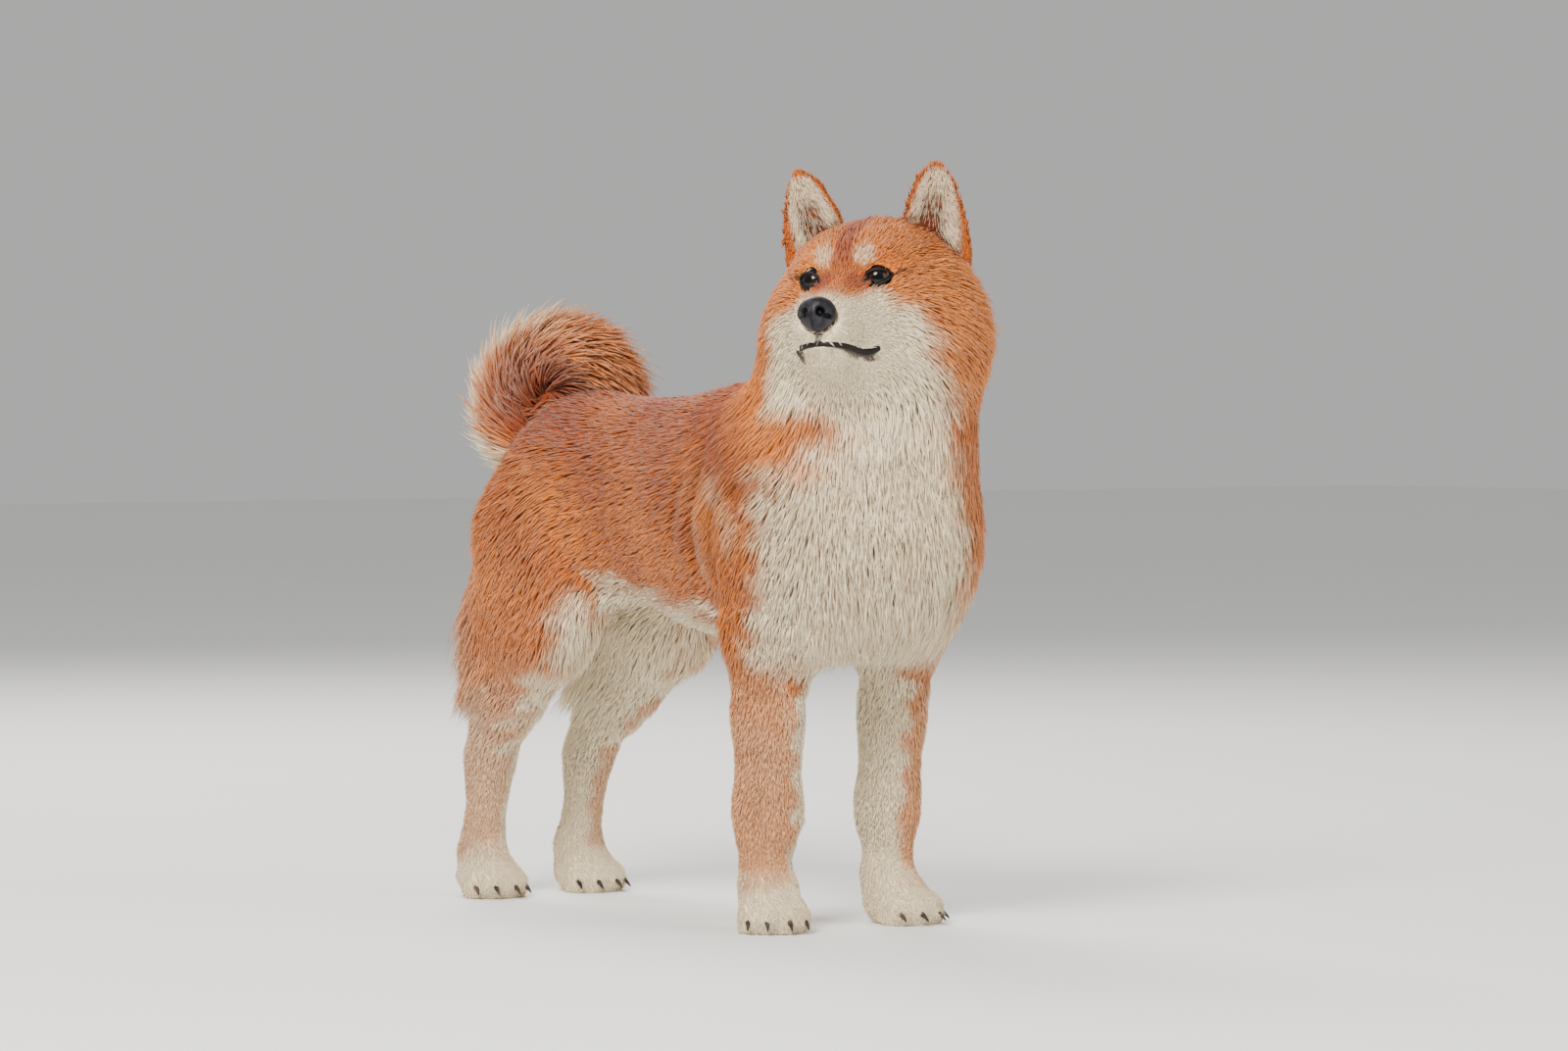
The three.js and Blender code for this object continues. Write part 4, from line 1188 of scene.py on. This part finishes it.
# Ears: the cups of the frame, evened out, with short fur outside and long pale hair in the cup
EAR_VOXEL = 1.1 * MM
EAR_FOOT, EAR_TIP = vec(-12, 43, 26), vec(0, 57, 92)
EAR_HALF = 30
# The tip is lowered to this share of its height over the part above its round
EAR_DROP = 0.84
EAR_ROUND_FROM = 0.6
EAR_THIN = 0.5
EAR_DENSITY = 0.8
EAR_TUFT_WIDTH = 0.85


class Ear:
    """One ear: its foot, height and ways up and across, and the way that its cup opens."""

    def __init__(self, side, s):
        self.side = side
        self.foot, tip = head_point(*(EAR_FOOT * [1, s, 1])), head_point(*(EAR_TIP * [1, s, 1]))
        slope = HEAD_TURN @ unit(vec(-4, s * 24.3, -12))
        opens = unit(np.cross(slope, tip - self.foot)) * s
        self.opens = opens if opens @ (HEAD_TURN @ vec(1, 0, 0)) >= 0 else -opens
        self.reach = np.linalg.norm(tip - self.foot)
        self.up = unit(tip - self.foot)
        self.across = unit(np.cross(self.up, self.opens))

    def place(self, points):
        """Height up the ear from 0 to 1, and place across it from -1 to 1."""
        height = np.clip((points - self.foot) @ self.up / self.reach, 0, 1)
        half = EAR_HALF * np.maximum(0.05, 1 - height**2) ** 0.85
        return height, ((points - self.foot) @ self.across) / half

    def rounded(self, points):
        """Lowers and widens the top of the ear, so that its tip is round."""
        above = np.maximum(0, (points - self.foot) @ self.up / self.reach - EAR_ROUND_FROM)
        lower = above * (1 - EAR_DROP) * self.reach
        aside = ((points - self.foot) @ self.across) * (0.9 * above)
        return points - self.up * lower[:, None] + self.across * aside[:, None]

    def marks(self, points, normals):
        """The cup's pale hair within its orange rim, and the bare hollow low in the middle, its brown partly
        bare skin and partly painted shade.
        """
        height, place = self.place(points)
        inside = ramp(0.25, 0.5, normals @ self.opens) * ramp(0.82, 0.66, np.abs(place))
        inside = inside * ramp(0.86, 0.76, height)
        return inside, inside * ramp(0.55, 0.25, np.abs(place + 0.1)) * ramp(0.62, 0.4, height)


class EarCoat:
    """Hair on an ear lies towards its tip: short outside, longer and looser in the cup."""

    def __init__(self, points, normals, ear):
        self.inside, self.hollow = ear.marks(points, normals)
        height, place = ear.place(points)
        flow = ear.up + self.inside[:, None] * (0.4 * ear.opens - 0.7 * place[:, None] * ear.across)
        flow -= normals * (flow * normals).sum(1, keepdims=True)
        self.flow = unit(flow)
        self.length = 4.5 + self.inside * 8 * (1 - height)
        self.depth = np.ones(len(points))
        self.width = EAR_TUFT_WIDTH * self.depth
        self.lift = 0.06 + 0.16 * self.inside


UNWRAP_AXES["ears"] = (head_point(*EAR_FOOT), head_point(*EAR_TIP))


def ear_skin(ear):
    """The ear's cup with its markings and with painted shade, darkest in its hollow."""
    bm = bmesh.new()
    add_copy(bm, frame["nodes"]["ear_" + ear.side], 0)
    name = f"ear_{ear.side}_skin"
    mesh = remeshed(name, mesh_of(bm, "ear_rough"), EAR_VOXEL)
    set_vertices(mesh, smooth(vertices_of(mesh), edges_of(mesh), 8))
    shade_smooth(mesh)
    set_vertices(mesh, ear.rounded(vertices_of(mesh) - normals_of(mesh) * EAR_THIN))
    cup, hollow = ear.marks(vertices_of(mesh), normals_of(mesh))
    # Painted shade: the skin of the cup is darkened, most in its hollow
    keep_marking(mesh, cup * (0.5 - 0.5 * hollow), 0.4 + 0.6 * cup, 0.25 * cup + 0.3 * hollow)
    piece = attach(link(name, mesh), coat_material("ear_skin_" + ear.side, False))
    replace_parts(piece, "ear_" + ear.side)
    return mesh


def ear_hair(ear, spots, facing):
    """The tufts of one ear, fewer in the bare hollow of its cup."""
    kept = rng.random(len(spots)) > 0.8 * EarCoat(spots, facing, ear).hollow
    spots, facing = spots[kept], facing[kept]
    coat = EarCoat(spots, facing, ear)
    n = len(spots)
    length = coat.length * (1 + 0.2 * rng.normal(size=n)).clip(0.5, 1.6)
    vertices, triangles, along = tuft_arrays(
        spots, facing, coat.flow, length, coat.width, coat.depth, coat.lift, "short"
    )
    name = "coat_ear_" + ear.side
    mesh = mesh_from(name, vertices, triangles)
    tone = 0.5 + 0.12 * rng.normal(size=n)
    # The third mark is painted shade: the hair in the cup is darkened, most in its hollow
    marks = [coat.inside * 0.8, tone, coat.inside * (0.16 + 0.3 * coat.hollow), rng.random(n)]
    keep_marking(mesh, *(np.repeat(mark, vertices.shape[1]) for mark in marks), np.tile(along, n))
    add_bake_map(mesh, "ears", spots, vertices, triangles, along)
    attach(link(name, mesh), coat_hair)


for side, s in SIDES:
    ear = Ear(side, s)
    spots, facing = sample_skin(ear_skin(ear), lambda p, n: np.full(len(p), EAR_DENSITY), 40 + s)
    ear_hair(ear, spots, facing)

# Claws: length and radius, each toe's turn and reach, and each paw's place and turn to each side
CLAW_LENGTH = 11
CLAW_RADIUS = 2.4
CLAW_STEPS = 6
TOES = [(-18.5, 15), (-6.8, 24), (6.8, 24), (18.5, 15)]
PAWS = [("forepaw", 166, 58, {-1: -30, 1: 6}), ("hindpaw", -214, 47, {-1: -10, 1: -4})]
claw_horn = leather("claw_horn", colour(34, 26, 24), colour(92, 76, 66), 400, 0.35)


def claws(name, x, y, turn):
    """The four claws of one paw, each curving down to its tip."""
    bm = bmesh.new()
    heading = turned((0, 0, 1), turn)
    steps = np.linspace(0, 1, CLAW_STEPS)
    radii = CLAW_RADIUS * (1 - (0.86 * steps) ** 1.5)
    for aside, reach in TOES:
        toe = turned((0, 0, 1), aside * 0.6)
        line = []
        for t in steps:
            p = vec(reach + 10 + CLAW_LENGTH * t, 0, 9.5 - 5.5 * t * t)
            line.append(heading @ (toe @ p + vec(0, aside * 0.85, 0)) + vec(x, y, 0))
        mesh = tube_mesh("claw", line, radii)
        bm.from_mesh(mesh)
        bpy.data.meshes.remove(mesh)
    attach(link(name, mesh_of(bm, name)), claw_horn)


for paw, x, y, turns in PAWS:
    for side, s in SIDES:
        claws(f"claws_{paw}_{side}", x, s * y, turns[s])


# Floor, light and camera
FLOOR_HALF = 14.0
# Lamps: name, place, what they shine on, size, power and tint
LAMPS = [
    ("key", (1.6, -2.6, 2.6), (0, 0, 0.3), 1.6, 215, (1.0, 0.97, 0.92)),
    ("fill", (3.0, 1.6, 1.6), (0, 0, 0.3), 2.6, 40, (1.0, 0.99, 0.97)),
    ("back", (-2.4, 0.8, 2.6), (0, 0, 0.35), 2.2, 120, (1.0, 0.97, 0.92)),
]
SKY = (0.9, 0.9, 0.89, 1)
SKY_STRENGTH = 0.55
# The photograph's camera: a long lens low in front and to the animal's right
CAMERA_AT = vec(3625.9, -2749.7, 400)
CAMERA_AZIMUTH = math.radians(52)
CAMERA_PITCH = math.radians(1.333)
LENS = 137.25
SENSOR = 36


def stage_floor():
    bm = bmesh.new()
    bmesh.ops.create_grid(bm, x_segments=2, y_segments=2, size=FLOOR_HALF)
    mesh = mesh_of(bm, "floor")
    g = Graph("floor_pale")
    tone = g.noise(3, 2)
    g.set(Base_Color=g.mix(tone, colour(243, 243, 241), colour(247, 247, 246)), Roughness=0.9)
    mesh.materials.append(g.material)
    link("floor", mesh)


def area_light(name, at, towards, size, power, tint):
    data = bpy.data.lights.new(name, "AREA")
    data.shape = "DISK"
    data.size = size
    data.energy = power
    data.color = tint
    lamp = link(name, data)
    lamp.location = at
    lamp.rotation_euler = (Vector(towards) - Vector(at)).to_track_quat("-Z", "Y").to_euler()


def camera():
    data = bpy.data.cameras.new("camera")
    data.sensor_width = SENSOR
    data.lens = LENS
    data.clip_end = 60
    obj = link("camera", data)
    obj.location = world(CAMERA_AT)
    level = math.cos(CAMERA_PITCH)
    ahead = (-math.sin(CAMERA_AZIMUTH) * level, math.cos(CAMERA_AZIMUTH) * level, -math.sin(CAMERA_PITCH))
    obj.rotation_euler = Vector(ahead).to_track_quat("-Z", "Y").to_euler()
    bpy.context.scene.camera = obj


stage_floor()
for lamp in LAMPS:
    area_light(*lamp)
sky = bpy.data.worlds.new("studio")
sky.use_nodes = True
background = sky.node_tree.nodes["Background"]
background.inputs["Color"].default_value = SKY
background.inputs["Strength"].default_value = SKY_STRENGTH
bpy.context.scene.world = sky
camera()
